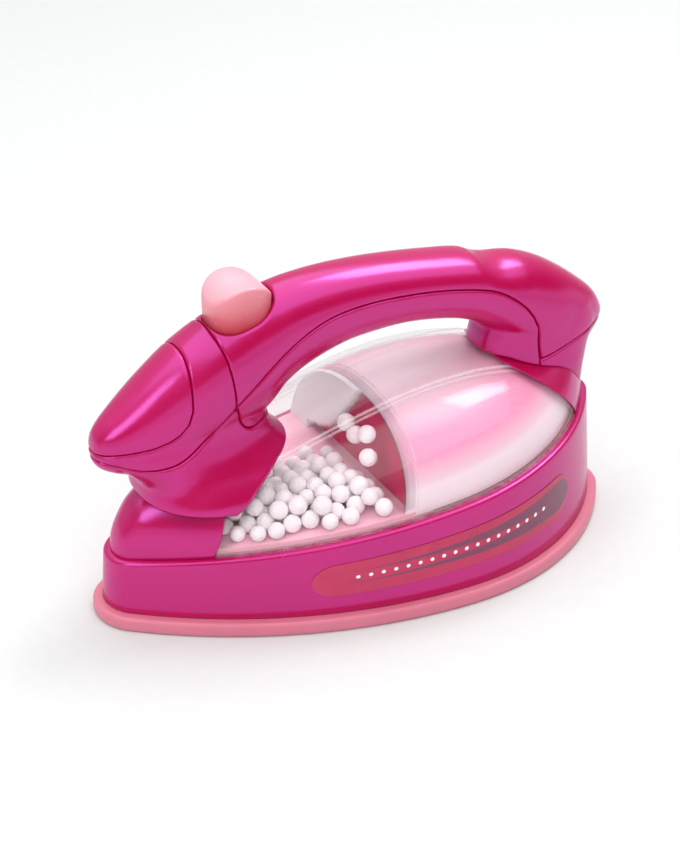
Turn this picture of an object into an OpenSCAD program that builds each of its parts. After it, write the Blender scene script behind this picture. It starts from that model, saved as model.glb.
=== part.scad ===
// Toy iron with a clear bead tank, a blower behind the beads and a sprung push button.
// Toe at -X, heel at +X, sole on z = 0, millimetres.

/* [Body plan] */
// Length of the base at its foot
body_len = 165; // [155:1:175]
// Width of the base at its widest place
body_wid = 84.8; // [80:0.2:92]
// How far behind the middle the base is widest
widest_x = 16; // [10:1:22]
// Radius of the rounded toe
toe_r = 11.8; // [10.5:0.1:14]
// Radius of the rounded heel
heel_r = 11.8; // [10.5:0.1:14]

/* [Sole] */
// Thickness of the sole plate
sole_t = 4.5; // [4:0.1:6]
// How far the sole stands out beyond the base
sole_flange = 2.8; // [2:0.1:4]
// Height of the chamfers round the sole's edge
sole_chamfer = 1; // [0.5:0.1:1.5]

/* [Base shell] */
// Wall of the base shell
base_wall = 2; // [1.6:0.1:2.6]
// Draft of the base's sides, in degrees
draft = 3.5; // [2:0.5:5]
// Height of the rim at the middle of the base
rim_mid = 29.6; // [28:0.1:32]
// Rise of the rim towards the heel, per mm
rim_rise = 0.11; // [0.08:0.01:0.13]
// Thickness of the deck under the tank
deck_t = 2; // [1.5:0.1:2.5]
// Width of the ledge outside the tank
ledge = 2; // [1.5:0.1:3]

/* [Tank] */
// Wall of the clear cover
cover_t = 1.6; // [1.2:0.1:2]
// Wall of the toe cap and the heel saddle
cap_t = 2; // [1.6:0.1:2.4]
// Thickness of the tank floor
floor_t = 1.5; // [1:0.1:2]
// Where the partition meets the rim
partition_x = -4.5; // [-8:0.5:0]
// Thickness of the clear partition
partition_t = 1.4; // [1:0.1:2]
// Thickness of the blower plate
blower_t = 1.4; // [1:0.1:2]
// Wall of the pink liner
liner_t = 0.8; // [0.6:0.1:1]
// Diameter of a foam bead
bead_d = 5.4; // [5:0.1:5.8]

/* [Handle] */
// Wall of the handle's mouldings
grip_wall = 2; // [1.6:0.1:2.4]
// Width added to the grip on both sides together
grip_extra = 0; // [-2:0.2:2]

/* [Button] */
// Where the button stands along the handle
button_x = -38; // [-40:0.5:-36]
// Length of the button along the handle
button_len = 19; // [18:0.2:20]
// Width of the button
button_wid = 17; // [16:0.2:18]
// Height of the top of the button
button_top = 99.5; // [97:0.1:101]
// How far the button goes down
button_travel = 3; // [2:0.1:3.2]
// Diameter of the button's stem
stem_d = 7; // [6:0.1:8]

/* [Drive] */
// Diameter of the motor's can
motor_d = 20; // [18:0.1:21]
// Length of the motor's can
motor_len = 25; // [22:0.5:27]
// Diameter of the motor's shaft
shaft_d = 2; // [1.5:0.1:3]
// Diameter of the blower wheel
fan_d = 24; // [20:0.5:25]
// Number of blades on the blower wheel
blades = 8; // [6:1:10]

/* [Batteries] */
// Diameter of a cell
cell_d = 14.2; // [14:0.1:14.5]
// Length of a cell with its nub
cell_len = 50.4; // [49.5:0.1:50.5]

/* [Fasteners] */
// Diameter of a screw
screw_d = 3; // [2.5:0.1:3.2]
// Diameter of a screw's head
screw_head_d = 5.6; // [5:0.1:6]

/* [Clearances] */
// Gap at a moulded joint
joint_gap = 0.2; // [0.1:0.05:0.3]
// Gap round the button where it comes through the handle
button_gap = 0.4; // [0.3:0.05:0.6]
// Radial running clearance of the button's stem and the motor's shaft
run_gap = 0.05; // [0.03:0.01:0.08]

/* [Hidden] */
$fn = 48;

magenta = [0.80, 0.06, 0.42];
salmon = [0.93, 0.54, 0.63];
pale_pink = [0.96, 0.78, 0.84];
clear = [0.92, 0.93, 0.96, 0.35];
steel = [0.72, 0.73, 0.75];
brass = [0.80, 0.66, 0.36];

// Far beyond the part, for cutting tools
far = 140;
// The styling curves below are drawn for a body 165 mm long, and stretch with it
stretch = body_len / 165;

// Curves

function key_at(keys, x, i = 0) =
    (i >= len(keys) - 2 || x < keys[i + 1][0]) ? i : key_at(keys, x, i + 1);
function key_slope(keys, i) =
    let (a = max(i - 1, 0), b = min(i + 1, len(keys) - 1))
    (keys[b][1] - keys[a][1]) / (keys[b][0] - keys[a][0]);
// Smooth curve through hand-picked points
function curve(keys, x) =
    let (
        i = key_at(keys, x),
        h = keys[i + 1][0] - keys[i][0],
        t = min(max((x - keys[i][0]) / h, 0), 1),
        m0 = key_slope(keys, i) * h,
        m1 = key_slope(keys, i + 1) * h
    )
    keys[i][1] * (1 + 2 * t) * (1 - t) * (1 - t) + m0 * t * (1 - t) * (1 - t)
    + keys[i + 1][1] * t * t * (3 - 2 * t) + m1 * t * t * (t - 1);
function mix(a, b, t) = a + (b - a) * t;
function steps(a, b, n) = [for (i = [0:n]) mix(a, b, i / n)];
// Steps that crowd towards both ends
function soft_steps(a, b, n) = [for (i = [0:n]) mix(a, b, (1 - cos(180 * i / n)) / 2)];
function reversed(list) = [for (i = [len(list) - 1:-1:0]) list[i]];
function superpower(v, n) = sign(v) * pow(abs(v), 2 / n);
function flat(rows) = [for (row = rows) each row];

// Meshes made from rows of points

function strip(i, j, cols, base) =
    let (a = base + i * cols + j, b = a + 1, c = a + cols, d = c + 1)
    [[a, b, c], [b, d, c]];
function swapped(faces) = [for (f = faces) [f[0], f[2], f[1]]];

// Solid through closed rings, each a convex loop with the same number of points
module ring_solid(rings) {
    n = len(rings[0]);
    last = (len(rings) - 1) * n;
    sides = [
        for (i = [0:len(rings) - 2]) for (j = [0:n - 1])
            let (a = i * n + j, b = i * n + (j + 1) % n)
            each [[a, b, a + n], [b, b + n, a + n]]
    ];
    ends = [for (j = [1:n - 2]) each [[0, j + 1, j], [last, last + j, last + j + 1]]];
    polyhedron(flat(rings), concat(sides, ends));
}

// Thin shell between an outer and an inner grid of points, each row an arch.
// A capped end is closed by two walls, an open end by the thickness of the arch.
module arch_shell(outer, inner, cap_first = false, cap_last = false) {
    rows = len(outer);
    cols = len(outer[0]);
    base = rows * cols;
    top = (rows - 1) * cols;
    skin_out = [for (i = [0:rows - 2]) for (j = [0:cols - 2]) each strip(i, j, cols, 0)];
    skin_in = [for (i = [0:rows - 2]) for (j = [0:cols - 2]) each swapped(strip(i, j, cols, base))];
    edge_a = [
        for (i = [0:rows - 2])
            let (a = i * cols, b = a + cols)
            each [[a, b, a + base], [b, b + base, a + base]]
    ];
    edge_b = [
        for (i = [0:rows - 2])
            let (a = i * cols + cols - 1, b = a + cols)
            each [[a, a + base, b], [b, a + base, b + base]]
    ];
    first = cap_first
        ? concat(
            [for (j = [1:cols - 2]) each [[0, j + 1, j], [base, base + j, base + j + 1]]],
            [[0, base, cols - 1], [base, base + cols - 1, cols - 1]])
        : [for (j = [0:cols - 2]) each [[j, base + j, j + 1], [j + 1, base + j, base + j + 1]]];
    end = base + top;
    last = cap_last
        ? concat(
            [for (j = [1:cols - 2]) each [[top, top + j, top + j + 1], [end, end + j + 1, end + j]]],
            [[top, top + cols - 1, end], [end, top + cols - 1, end + cols - 1]])
        : [for (j = [0:cols - 2]) each
            [[top + j, top + j + 1, end + j], [top + j + 1, end + j + 1, end + j]]];
    polyhedron(
        concat(flat(outer), flat(inner)),
        concat(skin_out, skin_in, edge_a, edge_b, first, last));
}

// Prism across the whole part, from an outline drawn in the side view
module side_prism(points) {
    rotate([90, 0, 0]) linear_extrude(height = 2 * far, center = true) polygon(points);
}

// Body plan: toe circle, front arc, rear arc, heel circle

half_len = body_len / 2;
half_wid = body_wid / 2;
function side_arc(reach, r) =
    ((reach - r) * (reach - r) + half_wid * half_wid - r * r) / (2 * (half_wid - r));
front_r = side_arc(half_len + widest_x, toe_r);
rear_r = side_arc(half_len - widest_x, heel_r);
toe_x = toe_r - half_len;
heel_x = half_len - heel_r;
front_y = half_wid - front_r;
rear_y = half_wid - rear_r;
toe_turn = atan2(-front_y, toe_x - widest_x);
heel_turn = atan2(-rear_y, heel_x - widest_x);

function arc_of(c, r, angles) = [for (a = angles) [c + r * [cos(a), sin(a)], [cos(a), sin(a)]]];
// One side of the plan from toe to heel, as points with their outward directions
plan_side = concat(
    arc_of([toe_x, 0], toe_r, [for (a = steps(180, toe_turn, 6)) a]),
    arc_of([widest_x, front_y], front_r, [for (i = [1:12]) mix(toe_turn, 90, i / 12)]),
    arc_of([widest_x, rear_y], rear_r, [for (i = [1:10]) mix(90, heel_turn, i / 10)]),
    arc_of([heel_x, 0], heel_r, [for (i = [1:6]) mix(heel_turn, 0, i / 6)]));
plan = concat(
    plan_side,
    [for (i = [len(plan_side) - 2:-1:1])
        [[plan_side[i][0].x, -plan_side[i][0].y], [plan_side[i][1].x, -plan_side[i][1].y]]]);
function plan_at(d) = [for (p = plan) p[0] + d * p[1]];
// Half-width of the plan at x, grown outwards by d
function plan_half(x, d) =
    let (
        toe_end = toe_x + (toe_r + d) * cos(toe_turn),
        heel_end = heel_x + (heel_r + d) * cos(heel_turn),
        r = x < toe_end ? toe_r : x < widest_x ? front_r : x < heel_end ? rear_r : heel_r,
        c = x < toe_end ? [toe_x, 0] : x < widest_x ? [widest_x, front_y]
            : x < heel_end ? [widest_x, rear_y] : [heel_x, 0]
    )
    sqrt(max((r + d) * (r + d) - (x - c.x) * (x - c.x), 0)) + c.y;

function rim(x) = rim_mid + rim_rise * x;
// How far the drafted wall stands in from the plan at height z
function drawn_in(z) = -(z - sole_t) * tan(draft);

// Ring of the base at offset d, at heights z = low or on the rim plane lifted by up
function level_ring(d, z) = [for (p = plan_at(d)) [p.x, p.y, z]];
function rim_ring(d, up) = [
    for (p = plan)
        let (q = p[0] + (d + drawn_in(rim(p[0].x))) * p[1])
        [q.x, q.y, rim(q.x) + up]
];

// Dome of the tank: arches across the body, standing on the rim plane inside the ledge

dome_power = 2.3;
function dome_plan(t) = -ledge - t;
function dome_foot(x) = drawn_in(rim(x));
dome_toe = -half_len - dome_foot(-half_len) - dome_plan(0);
dome_heel = half_len + dome_foot(half_len) + dome_plan(0);
// Height of the dome's crown above the rim plane, along the styled body
crown_keys = [
    [-79.6, 0.8], [-78.4, 6], [-76, 10.5], [-72, 15], [-64, 17.8], [-50, 19.6], [-30, 22.6],
    [-10, 25.7], [10, 28], [30, 27.6], [45, 24.8], [52, 22], [58, 19.9], [64, 18.8], [69, 17], [74, 13],
    [77, 7.5], [78.5, 0.8]
];
function crown(x) = curve(crown_keys, x / stretch);
function crown_in(x, t) = max(min(crown(x - t), crown(x + t), crown(x) - t), 0.4);
function dome_point(x, a, t) =
    let (
        w = max(plan_half(x, dome_foot(x) + dome_plan(t)), 0.4),
        h = t > 0 ? crown_in(x, t) : crown(x) - t
    )
    [x, -w * superpower(cos(a), dome_power), rim(x) + h * superpower(sin(a), dome_power)];
dome_cols = 14;
function dome_arch(x, t) = [for (j = [0:dome_cols]) dome_point(x, 180 * j / dome_cols, t)];
// Closed arch whose foot goes below the rim plane by the given depth
function dome_loop(x, t, below) =
    let (arch = dome_arch(x, t), first = arch[0], last = arch[dome_cols])
    concat(arch, [[x, last.y, last.z - below], [x, first.y, first.z - below]]);
module dome_solid(t, below, from = dome_toe, to = dome_heel, n = 30) {
    ring_solid([for (x = soft_steps(from + max(t, 0), to - max(t, 0), n)) dome_loop(x, t, below)]);
}
module dome_shell(t_out, t_in, from, to, n, cap_first = false, cap_last = false) {
    in_from = cap_first ? from + t_in - t_out : from;
    in_to = cap_last ? to - t_in + t_out : to;
    arch_shell(
        [for (x = soft_steps(from, to, n)) dome_arch(x, t_out)],
        [for (x = soft_steps(in_from, in_to, n)) dome_arch(x, t_in)],
        cap_first, cap_last);
}

// Joints across the dome, drawn in the side view

// Toe cap to cover: leans back as it rises
toe_joint_x = -56 * stretch;
toe_joint_lean = 0.35;
function toe_joint(z) = toe_joint_x + toe_joint_lean * (z - rim(toe_joint_x));
function toe_joint_line(d) = [
    [toe_joint(0) + d, 0],
    [toe_joint(far) + d, far]
];
// Cover to heel saddle: swept back from the top of the dome to the rim
saddle_keys = [[40, 62], [43, 58.6], [48, 56], [54, 51.8], [60, 46.6], [65, 41], [69.5, 34]];
function saddle_line(d) = [for (k = saddle_keys) [k.x * stretch + d, k.y + rim_mid - 29.6 + d]];

// Grip: one moulded bar from nose tip to tail, cut into its pieces by joint lines

grip_power = 2.25;
nose_tip = -84 * stretch;
tail_tip = 84.4 * stretch;
top_keys = [
    [-84, 58.2], [-83.2, 60.8], [-81, 63.5], [-77, 67], [-72, 71.3], [-66, 76.3], [-58, 82.3], [-50, 87],
    [-42, 90.6],
    [-33, 93.6], [-24, 95.6], [-15, 96.5], [-6, 96.7], [4, 96.3], [14, 95.4], [24, 94.2], [36, 92.3],
    [40, 90.4], [45, 89], [50, 88.5], [54, 87.8], [61, 85.1], [68, 81], [75, 75.8], [81, 70.3], [84.4, 64.6]
];
under_keys = [
    [-84, 53], [-82.8, 50.9], [-80, 49], [-76, 47.5], [-70, 46.5], [-60, 48], [-50, 51], [-44, 53],
    [-38, 55.4],
    [-33, 57.6], [-30, 60.4], [-27, 64], [-22, 67.6], [-15, 70.9], [-6, 73.7], [4, 74.9], [12, 75.2],
    [21, 74.4], [31, 72.4], [38, 69.6], [46, 64], [52, 58], [58, 50.5], [66, 47.5], [74, 50.5], [80, 56],
    [84.4, 60.8]
];
half_keys = [
    [-84, 2.2], [-82.8, 4.6], [-80, 7], [-76, 9.1], [-71, 10.9], [-66, 12], [-58, 13.2], [-50, 13.6],
    [-40, 13.2],
    [-28, 12.3], [-12, 11.6], [6, 11.4], [24, 11.6], [40, 12.2], [54, 13], [64, 12.6], [72, 10.6],
    [79, 7.2], [83, 4], [84.4, 2]
];
// Joint between the upper and lower mouldings, along the grip and round the tail
seam_keys = [
    [-84, 54], [-80, 53], [-74, 51.6], [-68, 51.5], [-61.7, 52.9], [-55.4, 56.6], [-49, 61.4],
    [-44, 66.4], [-36.4, 72.6], [-30, 77.7], [-23.7, 81.9], [-17.3, 85], [-11, 86.8], [-1.3, 87.8],
    [8.4, 87.7], [18.3, 87], [28.3, 85.6], [38.6, 83.2], [43.8, 80.8], [49.2, 76.6], [52.8, 72.4], [55, 68]
];
tail_keys = [[56.6, 56.8], [60, 57.4], [65, 58.9], [70, 60.3], [75, 61.2], [84.4, 62]];
tail_from = 56 * stretch;
function grip_top(x) = curve(top_keys, x / stretch);
function grip_under(x) = curve(under_keys, x / stretch);
function grip_half(x) = curve(half_keys, x / stretch) + min(grip_extra / 2, 1);
function seam(x) = x < tail_from ? curve(seam_keys, x / stretch) : curve(tail_keys, x / stretch);

function grip_frame(x, t) =
    let (top = grip_top(x) - t, under = grip_under(x) + t)
    [(top + under) / 2, max((top - under) / 2, 0.4), max(grip_half(x) - t, 0.4)];
function grip_point(x, a, t) =
    let (f = grip_frame(x, t))
    [x, -f[2] * superpower(cos(a), grip_power), f[0] + f[1] * superpower(sin(a), grip_power)];
// Angle at which the section reaches height z
function grip_angle(x, z, t) =
    let (f = grip_frame(x, t), s = min(max((z - f[0]) / f[1], -0.995), 0.995))
    asin(sign(s) * pow(abs(s), grip_power / 2));
function grip_arch(x, z, t, cols) =
    let (a = grip_angle(x, z, t))
    [for (j = [0:cols]) grip_point(x, mix(a, 180 - a, j / cols), t)];
function grip_trough(x, z, t, cols) =
    let (a = grip_angle(x, z, t))
    [for (j = [0:cols]) grip_point(x, mix(180 - a, 360 + a, j / cols), t)];
grip_cols = 14;
loop_cols = 20;
function grip_loop(x, t) = [for (j = [0:loop_cols - 1]) grip_point(x, 360 * j / loop_cols, t)];
module grip_solid(t, from, to, n) {
    ring_solid([for (x = steps(from, to, n)) grip_loop(x, t)]);
}
module upper_shell(outer_x, inner_x, cap_first, cap_last) {
    arch_shell(
        [for (x = outer_x) grip_arch(x, seam(x) + joint_gap / 2, 0, grip_cols)],
        [for (x = inner_x) grip_arch(x, seam(x) + joint_gap / 2, grip_wall, grip_cols)],
        cap_first, cap_last);
}

// Nose cap to collar, from the top of the head down its side and forward under the nose
nose_keys = [
    [-56.8, 110], [-57.2, 82], [-57.6, 73], [-57.9, 68], [-59.2, 64], [-61.6, 61.2], [-65, 59.3],
    [-69.5, 58], [-75, 57.2], [-84, 56], [-110, 55]
];
function nose_line(d) = [for (k = nose_keys) [k.x * stretch + d, k.y - d]];
// Collar to grip, then round the tongue of the lower moulding
collar_keys = [[-50.6, 110], [-48.4, 87], [-46.6, 81.3], [-45.5, 75.3], [-44.7, 69.7], [-44.4, 66.6]];
tongue_keys = [[-43.9, 64.6], [-42.7, 60.4], [-40.9, 57.8], [-38.4, 56.9], [-35, 57.4], [-28.5, 58.6]];
function collar_line(d) = [for (k = collar_keys) [k.x * stretch + d, k.y]];
// The button keeps its distance from the collar's joint
button_at = button_x + collar_keys[1].x * (stretch - 1);
function tongue_line(d) = [for (k = tongue_keys) [k.x * stretch + d, k.y + d]];
// Back of the lower moulding, above the heel saddle
back_keys = [[55.4, 110], [55.2, 68], [56.2, 56], [56.2, 20]];
function back_line(d) = [for (k = back_keys) [k.x * stretch + d, k.y]];

// Posts: level rings, each an oval between a front and a rear point

front_levels = [
    // height, front, rear, half-width
    [34, -71.2, -19.2, 21], [38, -71.2, -19.4, 21], [40.5, -71, -19.8, 20], [43.5, -70.8, -20.2, 18.2],
    [46, -72.8, -20.8, 16.4], [48.5, -76, -22.6, 15], [51, -79.2, -25.6, 13.9], [53.5, -81, -28.4, 13.2],
    [57, -82, -30.2, 12.9], [64, -82, -30.5, 12.9], [72, -82, -30.5, 12.9]
];
rear_levels = [
    [44, 37.5, 76.6, 14.4], [49, 38, 77.2, 13.8], [53, 38.4, 78, 13.3], [57, 38.8, 79, 12.8],
    [61, 39.6, 80.6, 12.5], [65, 40.6, 82, 12.3], [70, 42.5, 82, 12.2]
];
post_power = 2.5;
post_cols = 24;
function post_ring(level, t) =
    let (a = level[1] * stretch + t, b = level[2] * stretch - t, w = level[3] - t)
    [
        for (j = [0:post_cols - 1])
            let (g = -360 * j / post_cols)
            [
                (a + b) / 2 + (b - a) / 2 * superpower(cos(g), post_power),
                w * superpower(sin(g), post_power),
                level[0]
            ]
    ];
module post_solid(levels, t) {
    ring_solid([for (level = levels) post_ring(level, t)]);
}

// Screws: shank up along +Z from the underside of the head

screw_head_h = 1.4;
head_room = 0.3;
module screw(p, length) {
    translate(p) {
        cylinder(d = screw_d, h = length);
        difference() {
            translate([0, 0, -screw_head_h]) cylinder(d = screw_head_d, h = screw_head_h);
            for (turn = [0, 90])
                translate([0, 0, -screw_head_h]) rotate(turn) cube([3.2, 0.8, 1.6], center = true);
        }
    }
}
module screw_bore(p, length) {
    translate([p.x, p.y, p.z - 1]) cylinder(d = screw_d + 2 * run_gap, h = length + 1);
}
module screw_hole(p, length) {
    translate([p.x, p.y, p.z - 1]) cylinder(d = screw_d + 0.5, h = length + 1);
}
boss_r = screw_d / 2 + 1.9;

// Base screws, through the sole into bosses along the base's wall
boss_in = base_wall + boss_r - 1.2;
function wall_spot(x, side) = [x, side * (plan_half(x, drawn_in(rim(x))) - boss_in)];
base_spots = [for (x = [-58, 52]) for (side = [-1, 1]) wall_spot(x * stretch, side)];
sole_head_z = screw_head_h + 0.6;
base_screw_len = 14;

// Batteries: two cells side by side in a box moulded on the sole
box_wall = 1.8;
box_gap = 0.2;
plate_t = 0.5;
spring_room = 5.6;
box_x = 26;
box_len = cell_len + 2 * plate_t + spring_room + 4 * joint_gap;
box_half = cell_d + 1;
door_t = 2.4;
door_lift = 0.2;
door_lap = 1.4;
door_tab = 9;
cell_z = door_lift + door_t + box_gap + cell_d / 2;
box_top = cell_z + cell_d / 2 + box_gap;
box_front = box_x - box_len / 2;
box_rear = box_x + box_len / 2;
cell_y = cell_d / 2 + 0.4;
door_front = box_front - door_tab;
door_spot = [box_front - 5, 0];
door_boss_h = 6;
door_head_z = door_lift + screw_head_h + 0.2;

module sole_plate() {
    color(salmon) difference() {
        union() {
            ring_solid([
                level_ring(sole_flange - sole_chamfer, 0),
                level_ring(sole_flange, sole_chamfer),
                level_ring(sole_flange, sole_t - sole_chamfer),
                level_ring(sole_flange - sole_chamfer, sole_t)
            ]);
            translate([box_front - box_wall, -box_half - box_wall, sole_t - 1])
                cube([box_len + 2 * box_wall, 2 * (box_half + box_wall), box_top + box_wall - sole_t + 1]);
            translate([door_spot.x, door_spot.y, sole_t - 1]) cylinder(r = boss_r, h = door_boss_h + 1);
        }
        translate([box_front, -box_half, -1]) cube([box_len, 2 * box_half, box_top + 1]);
        translate([door_front - joint_gap, -box_half - door_lap - joint_gap, -1])
            cube([
                box_rear - door_front + door_lap + 2 * joint_gap,
                2 * (box_half + door_lap + joint_gap),
                1 + door_lift + door_t + 0.05
            ]);
        screw_bore([door_spot.x, door_spot.y, 1], sole_t + door_boss_h);
        for (p = base_spots) {
            screw_hole([p.x, p.y, 0], sole_t + 1);
            translate([p.x, p.y, -1]) cylinder(d = screw_head_d + 2 * head_room, h = 1 + sole_head_z);
        }
        translate(loom_hole) rotate([0, 90, 0]) cylinder(d = loom_d + 1, h = 4, center = true);
    }
}

module battery_door() {
    color(salmon) difference() {
        translate([door_front, -box_half - door_lap, door_lift])
            cube([box_rear - door_front + door_lap, 2 * (box_half + door_lap), door_t]);
        screw_hole([door_spot.x, door_spot.y, 0], 4);
        translate([door_spot.x, door_spot.y, 0]) cylinder(d = screw_head_d + 2 * head_room, h = door_head_z);
        for (i = [0:4])
            translate([box_x - 8 + 4 * i, 0, door_lift]) cube([1.2, box_half, 0.8], center = true);
    }
}

module door_screw() {
    color(steel) screw([door_spot.x, door_spot.y, door_head_z], 8);
}

nub_d = 5.4;
nub_h = 1;
module battery_cells() {
    color([0.25, 0.35, 0.45]) for (side = [-1, 1]) {
        // Each cell's nub points away from the other's
        flip = side > 0 ? 0 : 180;
        translate([box_x + side * spring_room / 2, side * cell_y, cell_z]) rotate([0, 90, flip])
            translate([0, 0, -cell_len / 2]) {
                cylinder(d = cell_d, h = cell_len - nub_h);
                cylinder(d = nub_d, h = cell_len);
            }
    }
}

module contact_plates() {
    color(brass) for (side = [-1, 1]) for (end = [-1, 1])
        translate([box_x + end * (box_len / 2 - joint_gap - plate_t / 2), side * cell_y, cell_z])
            cube([plate_t, 10, 11], center = true);
}

// Coil of round wire along +Z from z = 0: one closed tube
coil_sides = 5;
coil_rings = 8;
function coil_point(r0, r1, height, turns, wire, i, j) =
    let (
        n = turns * coil_rings,
        a = 360 * i / coil_rings,
        r = mix(r0, r1, i / n),
        c = [r * cos(a), r * sin(a), mix(wire / 2, height - wire / 2, i / n)],
        b = 360 * j / coil_sides
    )
    c + wire / 2 * (cos(b) * [cos(a), sin(a), 0] + [0, 0, sin(b)]);
module coil(r0, r1, height, turns, wire) {
    ring_solid([
        for (i = [0:turns * coil_rings])
            [for (j = [0:coil_sides - 1]) coil_point(r0, r1, height, turns, wire, i, j)]
    ]);
}

module contact_springs() {
    wire = 0.8;
    color(steel) for (side = [-1, 1])
        translate([
            box_x - side * (box_len / 2 - joint_gap - plate_t - 0.05), side * cell_y, cell_z
        ])
            rotate([0, side * 90, 0]) coil(4, 2.6, spring_room - 0.1, 4, wire);
}

// Base shell

deck_seat = 2.4;
deck_from = toe_joint_x - 1;
deck_to = 66 * stretch;
toe_spot = [-68 * stretch, 0];
heel_spot = [72 * stretch, 0];
function under_deck(p) = [p.x, p.y, rim(p.x - screw_head_d / 2) - deck_t - 0.05];

module base_cavity() {
    ring_solid([
        level_ring(-base_wall, sole_t - 1),
        rim_ring(-base_wall, -deck_t)
    ]);
}
// Opening in the deck under the tank
module deck_opening() {
    intersection() {
        ring_solid([
            rim_ring(-ledge - cap_t - deck_seat, -deck_t - 1),
            rim_ring(-ledge - cap_t - deck_seat, 2)
        ]);
        side_prism([[deck_from, 0], [deck_from, far], [deck_to, far], [deck_to, 0]]);
    }
}
module base_shell() {
    color(magenta) difference() {
        union() {
            difference() {
                ring_solid([level_ring(0, sole_t + 0.05), rim_ring(0, 0)]);
                base_cavity();
                deck_opening();
            }
            intersection() {
                for (p = base_spots)
                    translate([p.x, p.y, sole_t + 0.05]) cylinder(r = boss_r, h = far);
                ring_solid([level_ring(-0.5, sole_t + 0.05), rim_ring(-0.5, -0.5)]);
            }
        }
        for (p = base_spots)
            screw_bore([p.x, p.y, sole_t], base_screw_len);
        for (p = [toe_spot, heel_spot]) screw_hole([p.x, p.y, rim(p.x) - deck_t - 1], deck_t + 4);
        translate([loom_drop.x, loom_drop.y, 0]) cylinder(d = loom_d + 1, h = far);
    }
}

module base_screws() {
    color(steel) for (p = base_spots) screw([p.x, p.y, sole_head_z], base_screw_len);
}

// Printed band on each side, a film on the drafted wall
label_from = -32 * stretch;
label_to = 58 * stretch;
label_low = 10.2;
label_high = 20;
label_rise = 0.06;
label_flare = 0.025;
label_film = 0.15;
label_gap = 0.12;
label_round = 7;
function label_mid(x) = (label_low + label_high) / 2 + label_rise * (x - label_from);
function label_tall(x) =
    let (
        full = (label_high - label_low) / 2 + (x - label_from) * label_flare,
        d = max(label_from + label_round - x, x - label_to + label_round, 0) / label_round
    )
    full * sqrt(max(1 - d * d, 0.04));
function label_point(x, k, out, side) =
    let (z = label_mid(x) + k * label_tall(x))
    [x, side * (plan_half(x, drawn_in(z) + out)), z];
module side_labels() {
    cols = steps(-1, 1, 3);
    film = [label_gap, label_gap + label_film];
    xs = soft_steps(label_from, label_to, 24);
    color([0.85, 0.22, 0.36]) {
        arch_shell(
            [for (x = xs) [for (k = cols) label_point(x, k, film[1], -1)]],
            [for (x = xs) [for (k = cols) label_point(x, k, film[0], -1)]]);
        arch_shell(
            [for (x = xs) [for (k = reversed(cols)) label_point(x, k, film[1], 1)]],
            [for (x = xs) [for (k = reversed(cols)) label_point(x, k, film[0], 1)]]);
    }
}

// Tank

floor_in = cap_t + 0.4;
floor_from = toe_joint_x + 1;
floor_to = partition_x + 11;
partition_lean = 8.4;
partition_foot = [partition_x, 0, rim(partition_x)];
// Slab across the tank, parallel to the partition, behind it by back
module leaning_slab(back, t) {
    translate(partition_foot) rotate([0, partition_lean, 0])
        translate([back, -far, -far / 2]) cube([t, 2 * far, far]);
}
// Inside of the cover around the partition, from the tank floor up
module tank_room(t) {
    from = partition_x - 12;
    to = partition_x + 16;
    intersection() {
        dome_solid(t, 0, from, to, 10);
        side_prism([
            [from, rim(from) + floor_t], [from, far], [to, far], [to, rim(to) + floor_t]
        ]);
    }
}
module tank_floor() {
    color(pale_pink) intersection() {
        ring_solid([rim_ring(-ledge - floor_in, 0), rim_ring(-ledge - floor_in, floor_t)]);
        side_prism([[floor_from, 0], [floor_from, far], [floor_to, far], [floor_to, 0]]);
    }
}

// The partition is a plate with a flange that runs back along the inside of the cover
blower_back = partition_t + 2.4;
flange_t = 0.8;
flange_len = blower_back + blower_t + 0.2;
slot_count = 5;
module tank_partition() {
    color(clear) difference() {
        union() {
            intersection() {
                tank_room(cover_t + joint_gap);
                leaning_slab(0, partition_t);
            }
            intersection() {
                difference() {
                    tank_room(cover_t + joint_gap);
                    tank_room(cover_t + joint_gap + flange_t);
                }
                leaning_slab(0, flange_len);
            }
        }
        // Air slots low in the partition, narrower than a bead
        for (i = [0:slot_count - 1])
            translate([partition_x, -16 + 8 * i, rim(partition_x) + 9]) cube([20, 2, 8], center = true);
    }
}

// Far edge of the blower plate, seen along the body
blower_keys = [
    [-60, 10], [-60, 90], [0.5, 90], [2, 54], [6, 47.5], [10, 41.5], [14, 37.6], [20, 35], [27, 33.4],
    [31, 31.5], [31, 10]
];
fan_y = -8;
fan_z = 41;
port_r = 6.4;
module blower_plate() {
    color(magenta) difference() {
        intersection() {
            tank_room(cover_t + 2 * joint_gap + flange_t);
            leaning_slab(blower_back, blower_t);
            rotate([90, 0, 90]) linear_extrude(height = 2 * far, center = true) polygon(blower_keys);
        }
        for (i = [0:7])
            translate([0, fan_y + port_r * cos(45 * i), fan_z + port_r * sin(45 * i)])
                rotate([0, 90, 0]) cylinder(d = 3, h = 30, center = true);
    }
}

module tank_cover() {
    color(clear) intersection() {
        dome_shell(0, cover_t, -62 * stretch, 72 * stretch, 22);
        side_prism(concat(
            toe_joint_line(joint_gap / 2),
            [[30 * stretch, far]],
            saddle_line(-joint_gap / 2),
            [[69.5 * stretch, 0]]));
    }
}

// Front edge of the liner, behind the partition's flange, and its foot over the tank floor
function liner_front(z) =
    partition_x + (flange_len + 2 * joint_gap) / cos(partition_lean)
        + (z - rim(partition_x)) * tan(partition_lean);
liner_step = floor_to + 0.5;
liner_foot = rim(liner_step) + floor_t + joint_gap;
module rear_liner() {
    liner_out = cover_t + 2 * joint_gap;
    color(pale_pink) intersection() {
        dome_shell(liner_out, liner_out + liner_t, partition_x + 4, 70 * stretch, 18);
        side_prism(concat(
            [[liner_step, 0], [liner_step, liner_foot]],
            [for (z = [liner_foot, far]) [liner_front(z), z]],
            saddle_line(-joint_gap - 0.5),
            [[69 * stretch, 0]]));
    }
}

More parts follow.
